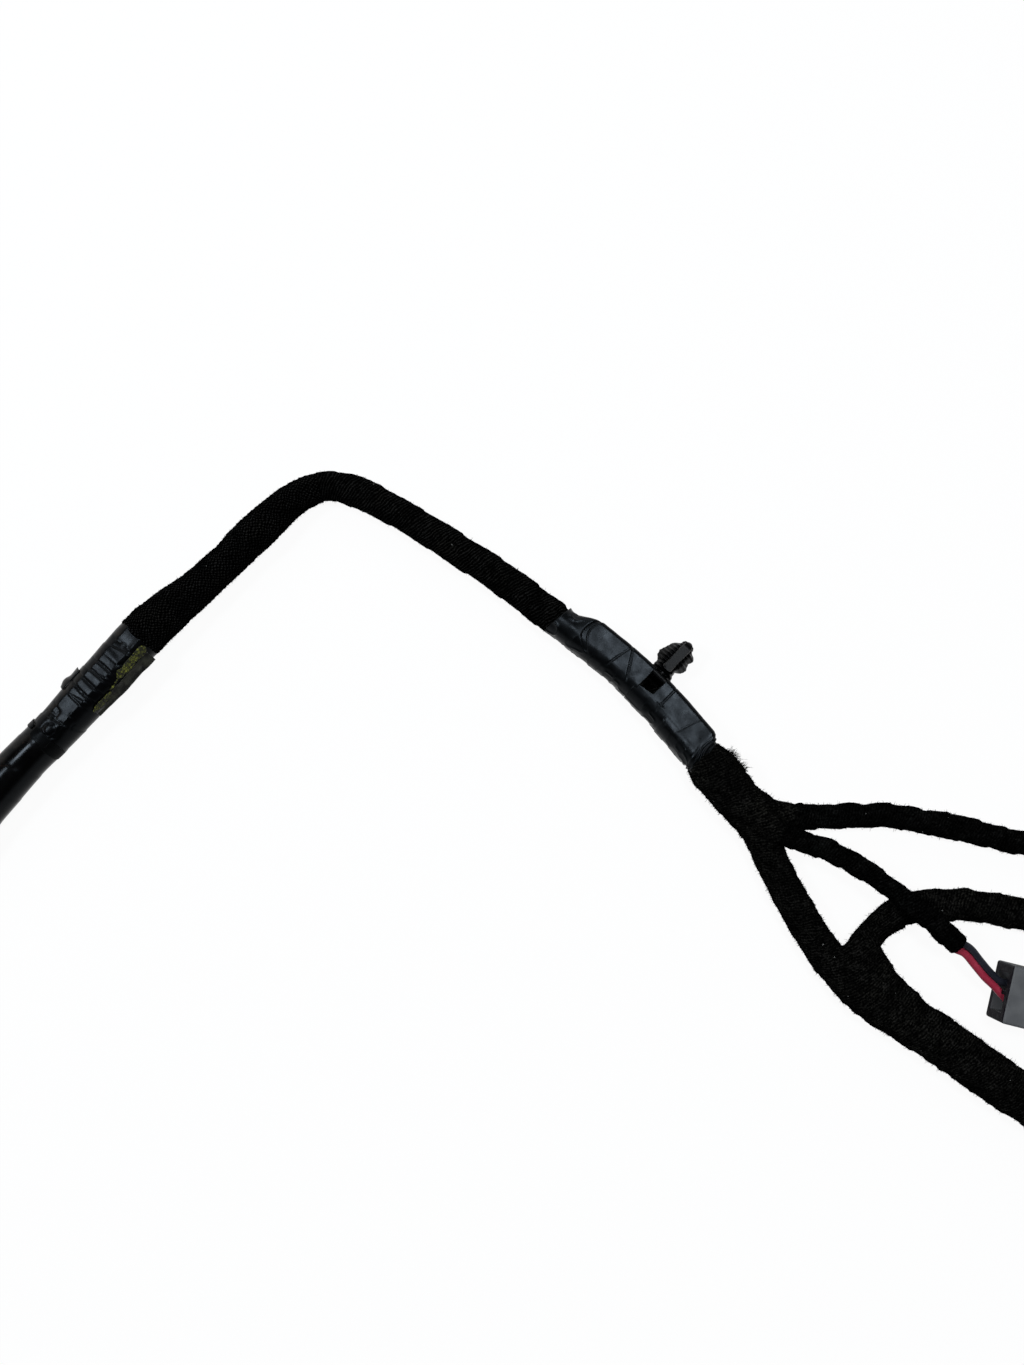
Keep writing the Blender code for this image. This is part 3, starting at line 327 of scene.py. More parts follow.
def gathered(bodies):
    """Points in metres and faces of several closed bodies of rings with flat ends."""
    vertices, faces, base = [], [], 0
    for rings in bodies:
        count, sides = rings.shape[:2]
        vertices.append(rings.reshape(-1, 3))
        faces += (skin_faces(count, sides, False) + base).tolist()
        faces.append([base + j for j in reversed(range(sides))])
        faces.append([base + (count - 1) * sides + j for j in range(sides)])
        base += count * sides
    return placed(np.concatenate(vertices)), faces


def keep_off_floor(points, gap=FLOOR_GAP):
    """Raises points that are nearer to the floor than a gap."""
    points[..., 2] = np.maximum(points[..., 2], gap)


def thinned(count, step):
    """Numbers of every so many rings, and of the last one."""
    return np.unique(np.concatenate([np.arange(0, count, step), [count - 1]]))


def angles(sides):
    """Angles round a section, from the underside on, so that the seam is below."""
    return -math.pi / 2 + 2 * math.pi * np.arange(sides) / sides


def around(route, distances, theta, level=True):
    """Axis, distance columns and the unit spokes of a tube's sections."""
    rows = route.at(distances)
    side = route.side(distances)
    if level:
        rise = np.broadcast_to(UP, side.shape)
    else:
        rise = np.cross(route.travel(distances, level=False), side)
    spokes = (side[:, None, :] * np.cos(theta)[None, :, None]
              + rise[:, None, :] * np.sin(theta)[None, :, None])
    return rows, spokes


def lapped(turn, step, lap):
    """Height of wound tape for a share of a turn: it rises, then drops at the tape's edge."""
    return step * (np.minimum(turn / (1 - lap), (1 - turn) / lap) - 0.5)


def winding(distances, theta, pitch, step, lap):
    """Height of wound tape on a grid of distances and angles."""
    turn = np.mod(distances[:, None] / pitch - theta[None, :] / (2 * math.pi), 1.0)
    return lapped(turn, step, lap)


def wound(name, start, end, spacing, sides, material, relief, route=TRUNK, radius=None, wall=0.7,
          level=True, ease=0.0):
    """A tape or sleeve round a route. Relief gives the height of its surface over the radius, and
    ease is the length over which it comes down at both ends."""
    count = max(3, int(math.ceil((end - start) / spacing)) + 1)
    distances = np.linspace(start, end, count)
    theta = angles(sides)
    rows, spokes = around(route, distances, theta, level)
    base = rows[:, 3] if radius is None else np.full(count, radius)
    centre = rows[:, None, :3]
    plain = centre + spokes * base[:, None, None]
    height = relief(distances, theta, plain)
    if ease:
        ends = smooth(distances, start, start + ease) * smooth(-distances, -end, -end + ease)
        height = height - (1 - ends)[:, None] * ease * 0.5
    outer = centre + spokes * (base[:, None] + height)[..., None]
    keep_off_floor(outer)
    every = thinned(count, 8)
    inner = centre[every] + spokes[every] * (base[every] - wall)[:, None, None]
    wraps = np.stack(np.broadcast_arrays(distances[:, None], theta[None, :] * base[:, None],
                                         height), axis=-1)
    item = shell(name, outer, inner, material, wraps)
    return item, outer, spokes


# Materials


def rgba(value):
    """A plain colour with its alpha; a node's output stays as it is."""
    return (*value, 1.0) if isinstance(value, tuple) else value


class Nodes:
    """A tree of nodes with short calls for adding and linking them."""

    def __init__(self, tree):
        self.nodes, self.links = tree.nodes, tree.links

    def add(self, kind, inputs=None, **settings):
        """Adds a node, sets it and links or sets its inputs."""
        made = self.nodes.new(kind)
        for key, value in settings.items():
            setattr(made, key, value)
        for key, value in (inputs or {}).items():
            self.feed(made.inputs[key], value)
        return made

    def feed(self, socket, value):
        """Links an output to a socket, or sets the socket's own value."""
        if isinstance(value, bpy.types.NodeSocket):
            self.links.new(value, socket)
        else:
            socket.default_value = value

    def maths(self, kind, first, second=0.0):
        """One arithmetic step."""
        return self.add("ShaderNodeMath", {0: first, 1: second}, operation=kind).outputs[0]

    def times(self, first, second):
        """Multiplies."""
        return self.maths("MULTIPLY", first, second)

    def plus(self, first, second):
        """Adds."""
        return self.maths("ADD", first, second)

    def white_rays(self):
        """1 for the rays that are to find a white background: camera, glossy and transmission."""
        path = self.add("ShaderNodeLightPath")
        value = path.outputs["Is Camera Ray"]
        for name in ("Is Glossy Ray", "Is Transmission Ray"):
            value = self.maths("MAXIMUM", value, path.outputs[name])
        return value

    def blend(self, output, share, plain, seen):
        """Shows the plain shader, and the seen one as far as the share says."""
        made = self.add("ShaderNodeMixShader", {"Fac": share, 1: plain, 2: seen})
        self.links.new(made.outputs["Shader"], self.nodes[output].inputs["Surface"])


class Finish(Nodes):
    """A Principled material: its name and the inputs that differ from Blender's own."""

    def __init__(self, name, inputs):
        self.material = bpy.data.materials.new(name)
        self.material.use_nodes = True
        super().__init__(self.material.node_tree)
        self.shader = self.nodes["Principled BSDF"]
        for key, value in inputs.items():
            self.feed(self.shader.inputs[key], value)
        self.place = self.add("ShaderNodeTexCoord").outputs["Object"]

    def noise(self, size, detail=3.0, stretch=None):
        """Noise whose lumps have a size in millimetres."""
        where = self.place
        if stretch:
            where = self.add("ShaderNodeMapping", {"Vector": where, "Scale": stretch}).outputs[0]
        made = self.add("ShaderNodeTexNoise", {"Vector": where, "Scale": 1.0 / (size * MM),
                                               "Detail": detail})
        return made.outputs["Fac"]

    def grey(self, value, low, high):
        """Maps a value from a low and a high point to 0 and 1."""
        made = self.add("ShaderNodeMapRange", {"Value": value, "From Min": low, "From Max": high})
        return made.outputs["Result"]

    def clouds(self, size, detail, low, high, stretch=None):
        """Noise, mapped from a low and a high point to 0 and 1."""
        return self.grey(self.noise(size, detail, stretch), low, high)

    def facing(self, direction, low, high):
        """Rises from 0 to 1 as the surface turns towards a direction of the part's frame."""
        normal = self.add("ShaderNodeNewGeometry").outputs["Normal"]
        made = self.add("ShaderNodeVectorMath", {0: normal, 1: direction}, operation="DOT_PRODUCT")
        return self.grey(made.outputs["Value"], low, high)

    def mix(self, share, first, second):
        """Mixes two colours."""
        inputs = {"Factor": share, 6: rgba(first), 7: rgba(second)}
        return self.add("ShaderNodeMix", inputs, data_type="RGBA").outputs[2]

    def colour(self, value):
        """Sets the base colour."""
        self.feed(self.shader.inputs["Base Color"], rgba(value))

    def bump(self, height, distance, strength=1.0):
        """Adds relief to the surface, in millimetres, on top of what is there."""
        made = self.add("ShaderNodeBump", {"Height": height, "Distance": distance * MM,
                                           "Strength": strength})
        normal = self.shader.inputs["Normal"]
        if normal.links:
            self.links.new(normal.links[0].from_socket, made.inputs["Normal"])
        self.links.new(made.outputs["Normal"], normal)

    def specks(self, spacing, size, share):
        """Small spots scattered at random: spacing and size in millimetres."""
        made = self.add("ShaderNodeTexVoronoi", {"Vector": self.place, "Scale": 1.0 / (spacing * MM)})
        near = self.maths("LESS_THAN", made.outputs["Distance"], size / spacing)
        chance = self.add("ShaderNodeSeparateColor", {"Color": made.outputs["Color"]}).outputs[0]
        return self.times(near, self.maths("LESS_THAN", chance, share))

    def wrap(self):
        """Distance along the trunk and way round it, in millimetres."""
        made = self.add("ShaderNodeAttribute", attribute_name="wrap")
        split = self.add("ShaderNodeSeparateXYZ", {"Vector": made.outputs["Vector"]})
        return split.outputs["X"], split.outputs["Y"]


def waves(finish, value, pitch, shift=0.0):
    """A sine of a length, with a pitch in millimetres and a shift in turns."""
    turns = finish.times(value, 2 * math.pi / pitch)
    return finish.maths("SINE", finish.plus(turns, shift))


MATT = {"Roughness": 1.0, "Specular IOR Level": 0.0}
LINT = (0.16, 0.16, 0.15)


def fabric(name, dark, light, thread, grain, band, knit=False, dust=(0.012, 0.010, 0.006),
           dust_share=0.3, rows=0.35):
    """Black textile: thread rows across the trunk, grain, dust and pale lint. Band is the height of the
    surface at which its colour starts to turn from dark to light, and ends. The colour follows the
    bumps' height: the threads' own grain, with painted shade in the gaps between them and painted light
    on their raised tops."""
    finish = Finish(name, MATT)
    along, across = finish.wrap()
    sway = finish.times(finish.noise(3.0, 2.0), thread * 2.0)
    along = finish.plus(along, sway)
    if knit:
        slide = finish.times(waves(finish, along, 2 * thread), 0.9)
        stitches = finish.times(waves(finish, along, thread),
                                waves(finish, across, thread, slide))
        weave = finish.times(stitches, 0.9)
    else:
        slant = finish.times(across, 0.35)
        weave = finish.times(waves(finish, finish.plus(along, slant), thread), rows)
    fine = finish.noise(grain, 5.0)
    coarse = finish.noise(grain * 3.5, 3.0)
    height = finish.plus(weave, finish.times(fine, 1.9))
    height = finish.plus(height, finish.times(coarse, 0.8))
    # Painted shade in the low gaps and painted light on the raised threads, as the colour follows the
    # bump's height.
    tone = finish.grey(height, *band)
    tone = finish.times(tone, tone)
    hollow = finish.clouds(5.0, 3.0, 0.38, 0.58)
    hollow = finish.plus(finish.times(hollow, 0.5), 0.5)
    tone = finish.times(tone, hollow)
    base = finish.mix(tone, dark, light)
    dusty = finish.clouds(8.0, 3.0, 0.50, 0.70)
    dusty = finish.times(finish.times(dusty, tone), dust_share)
    base = finish.mix(dusty, base, dust)
    finish.colour(finish.mix(finish.specks(3.0, 0.15, 0.3), base, LINT))
    finish.bump(height, 0.22)
    return finish.material


# Side of the films that faces the light: their dust goes there, partly real dust and partly a painted
# sheen.
LIT_DUST_SIDE = (-0.7, 0.7, 0.3)
DRIED_DIRT = (0.050, 0.030, 0.022)


def film(name, base, roughness, index, dust=None, dimples=0.04, fine=0.1):
    """Tape film: black and glossy, with smears, fine dimples and, if given, dust on the side towards
    the light, which is partly real dust and partly a painted sheen of that lit side.
    """
    finish = Finish(name, {"Roughness": roughness, "IOR": index,
                           "Specular Tint": (0.80, 0.90, 1.0, 1.0)})
    tone = finish.mix(finish.clouds(4.0, 4.0, 0.42, 0.68), base,
                      tuple(2.2 * value for value in base))
    if dust:
        # Dust and dried dirt on the lit side only: real dust and dirt, and also a painted sheen of that
        # side.
        side = finish.facing(LIT_DUST_SIDE, 0.35, 0.85)
        cover = finish.clouds(2.6, 5.0, 0.44, 0.62)
        tone = finish.mix(finish.times(finish.times(side, cover), 0.8), tone, dust)
        scratch = finish.clouds(1.1, 4.0, 0.66, 0.72, (0.35, 1.0, 0.6))
        tone = finish.mix(finish.times(finish.times(scratch, side), 0.5), tone, DRIED_DIRT)
    finish.colour(tone)
    smear = finish.times(finish.noise(2.4, 4.0), 0.30)
    finish.feed(finish.shader.inputs["Roughness"], finish.plus(smear, roughness - 0.15))
    finish.bump(finish.noise(0.5, 3.0), 0.03, fine)
    finish.bump(finish.noise(2.6, 3.0), dimples, 0.5)
    return finish.material


def moulding(name, base, paler, roughness, grain=0.35, index=1.35):
    """Moulded plastic: fine grain, slight mottling and pale scuffs."""
    finish = Finish(name, {"Roughness": roughness, "IOR": index})
    mottle = finish.clouds(4.0, 3.0, 0.4, 0.7)
    tone = finish.mix(finish.times(mottle, 0.5), base, paler)
    marks = finish.clouds(1.6, 6.0, 0.60, 0.72, (1.0, 0.12, 1.0))
    scuffed = tuple(min(1.0, 2.5 * value) for value in paler)
    finish.colour(finish.mix(finish.times(marks, 0.15), tone, scuffed))
    finish.bump(finish.noise(grain, 2.0), 0.03, 0.6)
    return finish.material


def insulation(name, base, paler, roughness):
    """Wire insulation: soft sheen with faint drawing lines and smudges."""
    finish = Finish(name, {"Roughness": roughness, "IOR": 1.3})
    smudge = finish.clouds(3.0, 4.0, 0.45, 0.7)
    finish.colour(finish.mix(finish.times(smudge, 0.6), base, paler))
    finish.bump(finish.noise(0.7, 3.0), 0.03, 0.5)
    return finish.material


def crazed_film():
    """Yellow-green marking film, cracked and soiled."""
    finish = Finish("crazed_yellow_film", {"Roughness": 0.6, "Specular IOR Level": 0.15})
    shift = finish.add("ShaderNodeTexNoise", {"Vector": finish.place, "Scale": 900.0})
    small = finish.add("ShaderNodeVectorMath", {0: shift.outputs["Color"], "Scale": 0.0009},
                       operation="SCALE")
    warped = finish.add("ShaderNodeVectorMath", {0: finish.place, 1: small.outputs[0]},
                        operation="ADD")
    cells = finish.add("ShaderNodeTexVoronoi", {"Vector": warped.outputs[0],
                                                "Scale": 1 / (0.75 * MM)},
                       feature="DISTANCE_TO_EDGE")
    cracks = cells.outputs["Distance"]
    whole = finish.grey(cracks, 0.04, 0.16)
    worn = finish.clouds(0.9, 4.0, 0.36, 0.60)
    tone = finish.mix(worn, (0.150, 0.155, 0.022), (0.034, 0.036, 0.012))
    soil = finish.clouds(3.0, 3.0, 0.50, 0.62)
    tone = finish.mix(finish.times(soil, 0.8), tone, (0.016, 0.017, 0.009))
    finish.colour(finish.mix(whole, (0.006, 0.006, 0.005), tone))
    finish.bump(cracks, 0.05, 0.6)
    return finish.material


def metal():
    """Tinned contact metal."""
    finish = Finish("tinned_metal", {"Roughness": 0.32, "Metallic": 1.0})
    finish.colour(finish.mix(finish.noise(1.5, 4.0), (0.62, 0.60, 0.55), (0.45, 0.43, 0.39)))
    finish.bump(finish.noise(0.4, 2.0), 0.01, 0.5)
    return finish.material


def flag_film():
    """The flag's film: thin, worn and a little see-through."""
    finish = Finish("worn_flag_film", {"Roughness": 0.42, "Specular IOR Level": 0.12,
                                       "Transmission Weight": 0.08})
    tone = finish.clouds(2.2, 4.0, 0.40, 0.66)
    finish.colour(finish.mix(tone, (0.0035, 0.0037, 0.0032), (0.0270, 0.0270, 0.0190)))
    finish.bump(finish.noise(0.8, 3.0), 0.04, 0.5)
    return finish.material


def loose_fibre():
    """Single strands that stand off the textiles."""
    finish = Finish("loose_fibre", MATT)
    finish.colour(finish.mix(finish.noise(2.0), (0.0010, 0.0010, 0.0010), (0.0090, 0.0085, 0.0070)))
    return finish.material


SMOOTH_PVC = film("smooth_pvc_film", (0.0007, 0.0006, 0.0006), 0.20, 1.18, (0.0110, 0.0088, 0.0071),
                  0.02, 0.04)
WRINKLED_PVC = film("wrinkled_pvc_film", (0.0007, 0.0007, 0.0008), 0.28, 1.16,
                    (0.0105, 0.0079, 0.0058), 0.05)
TORN_PVC = film("torn_pvc_film", (0.0007, 0.0007, 0.0007), 0.38, 1.12)
CLIP_PVC = film("clip_pvc_film", (0.0007, 0.0008, 0.0009), 0.32, 1.20)
CLOTH = fabric("cloth_tape_weave", (0.0003, 0.0003, 0.0003), (0.0140, 0.0137, 0.0130), 0.80, 0.40,
               (1.05, 1.95))
KNIT = fabric("sleeve_knit", (0.0002, 0.0002, 0.0002), (0.0150, 0.0147, 0.0142), 1.05, 0.30,
              (1.05, 2.20), knit=True)
FLEECE = fabric("fleece_felt", (0.0005, 0.0005, 0.0005), (0.0180, 0.0172, 0.0155), 0.75, 0.50,
                (1.05, 1.85), dust=(0.019, 0.018, 0.012), dust_share=0.28, rows=0.16)
DARK_FLEECE = fabric("fleece_felt_dark", (0.0003, 0.0003, 0.0003), (0.0095, 0.0092, 0.0088), 0.75,
                     0.50, (1.00, 1.90), dust=(0.006, 0.010, 0.008), rows=0.14)
FIBRE = loose_fibre()
NYLON = moulding("black_nylon", (0.0008, 0.0008, 0.0009), (0.0018, 0.0019, 0.0022), 0.34, index=1.15)
BLACK_PLASTIC = moulding("connector_black", (0.008, 0.008, 0.009), (0.014, 0.014, 0.015), 0.50)
COVER_PLASTIC = moulding("cover_black", (0.006, 0.006, 0.006), (0.011, 0.011, 0.011), 0.62, 0.5)
SEAL = moulding("seal_rubber", (0.120, 0.048, 0.028), (0.160, 0.068, 0.040), 0.75, 0.5)
RED = insulation("red_insulation", (0.30, 0.022, 0.045), (0.42, 0.050, 0.085), 0.42)
BLUE_BLACK = insulation("blue_black_insulation", (0.012, 0.013, 0.019), (0.022, 0.024, 0.033), 0.40)
BUNDLE = insulation("bundle_insulation", (0.012, 0.012, 0.013), (0.020, 0.020, 0.021), 0.5)
YELLOW = crazed_film()
FLAG = flag_film()
METAL = metal()


def finish_piece(item, slot, *nodes):
    """Lets a piece ride on the harness and hides the nodes that it stands for. The slot is not used."""
    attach(item, "root")
    if nodes:
        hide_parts(*nodes)
    return item


# Fibres


def fibres(name, points, normals, count, length, radius, seed, slot, lean=0.8):
    """Thin curled strands that stand out of a surface, each a closed three-sided tube."""
    points, normals = points.reshape(-1, 3), normals.reshape(-1, 3)
    chance = np.random.default_rng(seed)
    pick = chance.integers(0, len(points), count)
    root, normal = points[pick], normals[pick]
    first = unit(normal + lean * chance.normal(size=(count, 3)))
    second = unit(first + 0.9 * chance.normal(size=(count, 3)))
    reach = length[0] + (length[1] - length[0]) * chance.random((count, 1))**2
    line = np.stack([root - normal * 0.1, root + first * reach * 0.5,
                     root + first * reach * 0.5 + second * reach * 0.5], axis=1)
    keep_off_floor(line, 0.1)
    across = unit(np.cross(first, chance.normal(size=(count, 3))))
    over = np.cross(first, across)
    thick = np.array([1.5, 1.2, 0.525]) * radius
    turns = [2 * math.pi * corner / 3 for corner in range(3)]
    spokes = np.stack([across * math.cos(turn) + over * math.sin(turn) for turn in turns], axis=1)
    rings = line[:, :, None, :] + spokes[:, None, :, :] * thick[None, :, None, None]
    base = (np.arange(count) * 9)[:, None, None]
    faces = (skin_faces(3, 3, False) + base).reshape(-1, 4).tolist()
    faces += (np.array([[2, 1, 0], [6, 7, 8]]) + base).reshape(-1, 3).tolist()
    item = add_mesh(name, placed(rings.reshape(-1, 3)), faces, FIBRE)
    return finish_piece(item, slot)


# Trunk, left end


def left_tape():
    """The smooth tape at the left, its spiral turns only just showing."""
    def relief(distances, theta, plain):
        turns = winding(distances, theta, PVC_PITCH, 0.16, 0.04)
        return 0.5 * turns + 0.02 * rough(plain, 9.0, 3) + 0.012 * rough(plain, 2.5, 5)

    item, _, _ = wound("smooth_tape_wrap", TAPE_START, TAPE_JOINT + 3 * SEAM_GAP, 0.5, 96,
                       SMOOTH_PVC, relief)
    finish_piece(item, "smooth_pvc", "left_tape_wrap")


def overwrap_relief(distances, theta, plain):
    """A side pulled flat, with grooves across it in the middle and creases at both ends."""
    turns = winding(distances, theta, PVC_PITCH, 0.14, 0.05)
    d, t = np.broadcast_arrays(distances[:, None], theta[None, :])

    def creases(length, width, seed, bend=0.0):
        spots = np.stack([d / length + bend, np.cos(t) * width, np.sin(t) * width], -1)
        return (1 - np.abs(noise(spots, 1.0, seed)))**6

    bend = 0.35 * noise(np.stack([d / 7, np.cos(t), np.sin(t)], -1), 1.0, 12)
    facing = smooth(np.cos(t - FLAT_MIDDLE), 0.5, 0.95)
    grooves = (1 - np.abs(np.sin(math.pi * (d + bend) / GROOVE_PITCH)))**3
    grooves = 0.36 * grooves * smooth(d, 87.5, 90.5) * smooth(-d, -103.5, -100.5)
    folds = 0.30 * creases(4.2, 1.2, 11, bend) * smooth(d, 101.0, 104.5)
    crumple = 0.20 * creases(2.2, 2.6, 14) * smooth(-d, -87.5, -83.5)
    off = np.minimum(np.abs(t - FLAT_MIDDLE), FLAT_HALF)
    flat = FLAT_RADIUS * (1 - math.cos(FLAT_HALF) / np.cos(off)) * smooth(d, 79.0, 84.0)
    edge = 0.25 * smooth(-d, -78.2, -76.8) * (0.5 + 0.5 * noise(plain, 2.4, 17))
    return turns - flat - facing * (grooves + folds + crumple) + edge + 0.05 * rough(plain, 6.0, 31)


TORN_BITS = ((74.2, 77.4, 96.0, 178.0, 0.22, 83), (74.6, 77.6, 60.0, 116.0, 0.28, 87),
             (75.4, 77.4, -10.0, 52.0, 0.25, 91))


def torn_bit(name, start, end, low, high, lift, seed):
    """A torn bit of the overwrap that lies on the tape before it. It reaches from start to end
    along the trunk and from low to high, in degrees, round it."""
    share = np.linspace(0, 1, 18)

    def section(distance, radius):
        fade = smooth(distance, start, start + 0.5) * smooth(-distance, -end, -end + 0.3)
        first = low + (high - low) * 0.22 * (1 - fade)
        turn = np.radians(first + share * (high - first - 14 * (1 - fade)))
        return polar(radius + 0.10 + lift * (0.85 + 0.15 * row_noise(distance, 5 * share, 1.1, seed)),
                     turn)

    return strip(name, start, end, section, TORN_PVC, 0.14, 0.2)


def left_overwrap():
    """The wrinkled tape over the next stretch, with torn bits at its start."""
    item, _, _ = wound("wrinkled_tape_wrap", TAPE_JOINT, SLEEVE_START + SEAM_GAP, 0.2, 160,
                       WRINKLED_PVC, overwrap_relief)
    finish_piece(item, "wrinkled_pvc", "left_tape_overwrap")
    for number, bit in enumerate(TORN_BITS):
        finish_piece(torn_bit(f"torn_tape_{number}", *bit), "wrinkled_pvc")


def strip(name, start, end, section, material, thick=0.12, spacing=0.25):
    """A thin film along the trunk through rows of side and height pairs given for a distance."""
    distances = np.linspace(start, end, int((end - start) / spacing) + 2)
    rows = TRUNK.at(distances)
    side = TRUNK.side(distances)
    rings = []
    for index, distance in enumerate(distances):
        line = section(distance, rows[index, 3])
        run = np.gradient(line, axis=0)
        over = unit(np.stack([run[:, 1], -run[:, 0]], axis=1))
        loop = np.concatenate([line + over * thick / 2, (line - over * thick / 2)[::-1]])
        rings.append(section_ring(rows[index, :3], side[index], loop))
    return solid(name, np.array(rings)[:, ::-1], material)


def row_noise(distance, places, size, seed):
    """Noise for places across a film, which also changes along the trunk."""
    return noise(np.stack([distance + 0 * places, places, 0 * places], -1), size, seed)


def polar(reach, turn):
    """Side and height pairs from a reach and an angle from the left side upwards."""
    return np.stack([reach * np.cos(turn), reach * np.sin(turn)], axis=-1)


def left_films():
    """Marker strip, loose flag and loose tag on the overwrap."""
    share = np.linspace(0, 1, 16)

    def flag_section(distance, radius):
        wave = row_noise(distance, 0.0, 5.0, 51)
        ripple = 0.12 * row_noise(distance, 4 * share, 1.6, 52)
        turn = math.radians(137) + share * math.radians(24 + 2 * wave)
        peel = 0.36 + 0.95 * share**2 + 0.30 * wave * share + ripple
        peel = peel + 0.7 * share**2 * smooth(distance, 104.0, 109.0)
        return polar(radius + peel, turn) * (1.0, FLAG_SAG)

    flag = strip("marker_flag", 89.8, 109.9, flag_section, FLAG)
    finish_piece(flag, "smooth_pvc", "marker_tape_flag")

    def tag_section(distance, radius):
        wave = row_noise(distance, 0.0, 2.2, 61)
        turn = math.radians(34) - share * math.radians(26)
        return polar(radius + 0.15 + (0.75 + 0.35 * wave) * share, turn)

    tag = strip("tape_tag", 88.4, 94.8, tag_section, WRINKLED_PVC, 0.16)
    finish_piece(tag, "smooth_pvc", "loose_tape_tag")
    patches = [marker_patch(f"yellow_patch_{number}", *patch) for number, patch in enumerate(PATCHES)]
    finish_piece(patches[0], "yellow_film", "yellow_marker_tape")
    for patch in patches[1:]:
        finish_piece(patch, "yellow_film")


PATCHES = ((100.0, 110.8, 115.0, 139.0, 71), (89.6, 96.4, 133.0, 151.0, 75),
           (96.6, 98.4, 130.0, 138.0, 77), (98.7, 99.8, 126.0, 135.0, 79))


def marker_patch(name, start, end, low, high, seed):
    """A crazed, ragged patch or crumb of the yellow strip. It reaches from start to end along the
    trunk and from low to high, in degrees, round it."""
    share = np.linspace(0, 1, 12)

    def section(distance, radius):
        fade = smooth(distance, start, start + 1.4) * smooth(-distance, -end, -end + 0.8)
        near = (1 + row_noise(distance, 0.0, 1.3, seed)) / 2
        far = (1 + row_noise(distance, 0.0, 0.9, seed + 1)) / 2
        first = low + (high - low) * (0.28 * (1 - fade) + 0.16 * near)
        last = high - (high - low) * (0.28 * (1 - fade) + 0.20 * far)
        turn = np.radians(first + share * (last - first))
        return polar(radius + 0.50 + 0.05 * row_noise(distance, 3 * share, 1.0, seed), turn)

    return strip(name, start, end, section, YELLOW, 0.10, 0.2)


# Trunk, textiles


def sleeve_relief(distances, theta, plain):
    """Knit sleeve: rows of small stitches across, over a lumpy bundle."""
    rows = np.sin(2 * math.pi * distances / 1.25)[:, None]
    stitches = np.cos(theta * 34 + 1.2 * np.sin(2 * math.pi * distances / 2.5)[:, None])
    turns = winding(distances, theta, CLOTH_PITCH, 0.10, 0.08)
    return (turns + 0.07 * rows * stitches + 0.05 * rows + 0.26 * noise(plain, 7.0, 71)
            + 0.10 * rough(plain, 2.0, 72) + 0.05 * noise(plain, 0.6, 74))


def cloth_relief(distances, theta, plain):
    """Cloth tape: spiral turns with a raised selvedge, on a lumpy bundle."""
    turns = winding(distances, theta, CLOTH_PITCH, 0.34, 0.06)
    turns = turns - 0.60 * smooth(distances, CLIP_TAPE_START - 0.9, CLIP_TAPE_START + 0.3)[:, None]
    scallop = 0.06 * np.sin(2 * math.pi * distances / 2.3)[:, None] * np.cos(theta + 2.0)[None]
    return (turns + scallop + 0.16 * noise(plain, 8.0, 81) + 0.08 * rough(plain, 1.8, 82)
            + 0.04 * noise(plain, 0.6, 84))


def fleece_relief(distances, theta, plain):
    """Fleece tape: thick felt with soft turns."""
    turns = winding(distances, theta, FLEECE_PITCH, 0.22, FLEECE_LAP)
    return (turns + 0.20 * noise(plain, 6.0, 91) + 0.14 * rough(plain, 1.8, 92)
            + 0.07 * noise(plain, 0.6, 95))


def branch_relief(seed, pitch, taper):
    """Fleece on a branch, which may start thinner."""
    def relief(distances, theta, plain):
        turns = winding(distances, theta, pitch, 0.34, FLEECE_LAP)
        turns = turns - taper * (1 - smooth(distances, 5.0, 16.0))[:, None]
        return (turns + 0.34 * noise(plain, 5.0, seed) + 0.13 * rough(plain, 1.7, seed + 1)
                + 0.07 * noise(plain, 0.6, seed + 4))
    return relief


def haired(made, slot, node, name, count, length, radius, seed, rows=None):
    """Finishes a wound textile, and adds the fibres on it, if told on its first rows only."""
    item, outer, spokes = made
    finish_piece(item, slot, node)
    fibres(name, outer[:rows], spokes[:rows], count, length, radius, seed, slot)


def textiles():
    """Sleeve, cloth tape and the fleece between the two junctions."""
    made = wound("knit_sleeve", SLEEVE_START - SEAM_GAP, BEND_SEAM + 3 * SEAM_GAP, 0.25, 150, KNIT,
                 sleeve_relief, ease=0.35)
    haired(made, "woven_textile", "woven_sleeve", "sleeve_fibres", 2200, (0.2, 0.8), 0.030, 101)
    made = wound("cloth_tape", BEND_SEAM, CLIP_TAPE_END, 0.35, 96, CLOTH, cloth_relief, ease=0.35)
    free = int(len(made[1]) * (CLIP_TAPE_START - BEND_SEAM) / (CLIP_TAPE_END - BEND_SEAM))
    haired(made, "cloth_tape", "cloth_tape_wrap", "cloth_fibres", 1500, (0.2, 0.8), 0.030, 102, free)
    made = wound("fleece_middle", JUNCTION_MOUTH_UPPER - 2.0, JUNCTION_MOUTH_LOWER + 2.0, 0.3, 96,
                 FLEECE, fleece_relief)
    haired(made, "fleece_tape", "fleece_wrap_middle", "middle_fibres", 2000, (0.25, 1.1), 0.035, 103)


# Junctions


def hull_outline(circles, count, grow=0.0):
    """Outline of tape pulled tight round circles (side, height, radius), evenly spaced."""
    theta = angles(720)
    across, rise = np.cos(theta), np.sin(theta)
    side, height, radius = (np.array(column) for column in zip(*circles))
    support = side[:, None] * across + height[:, None] * rise + radius[:, None]
    best = support.argmax(axis=0)
    points = np.stack([side[best] + (radius[best] + grow) * across,
                       height[best] + (radius[best] + grow) * rise], axis=1)
    loop = np.concatenate([points, points[:1]])
    run = np.concatenate([[0.0], np.cumsum(np.linalg.norm(np.diff(loop, axis=0), axis=1))])
    want = run[-1] * np.arange(count) / count
    return np.stack([np.interp(want, run, loop[:, 0]), np.interp(want, run, loop[:, 1])], axis=1)


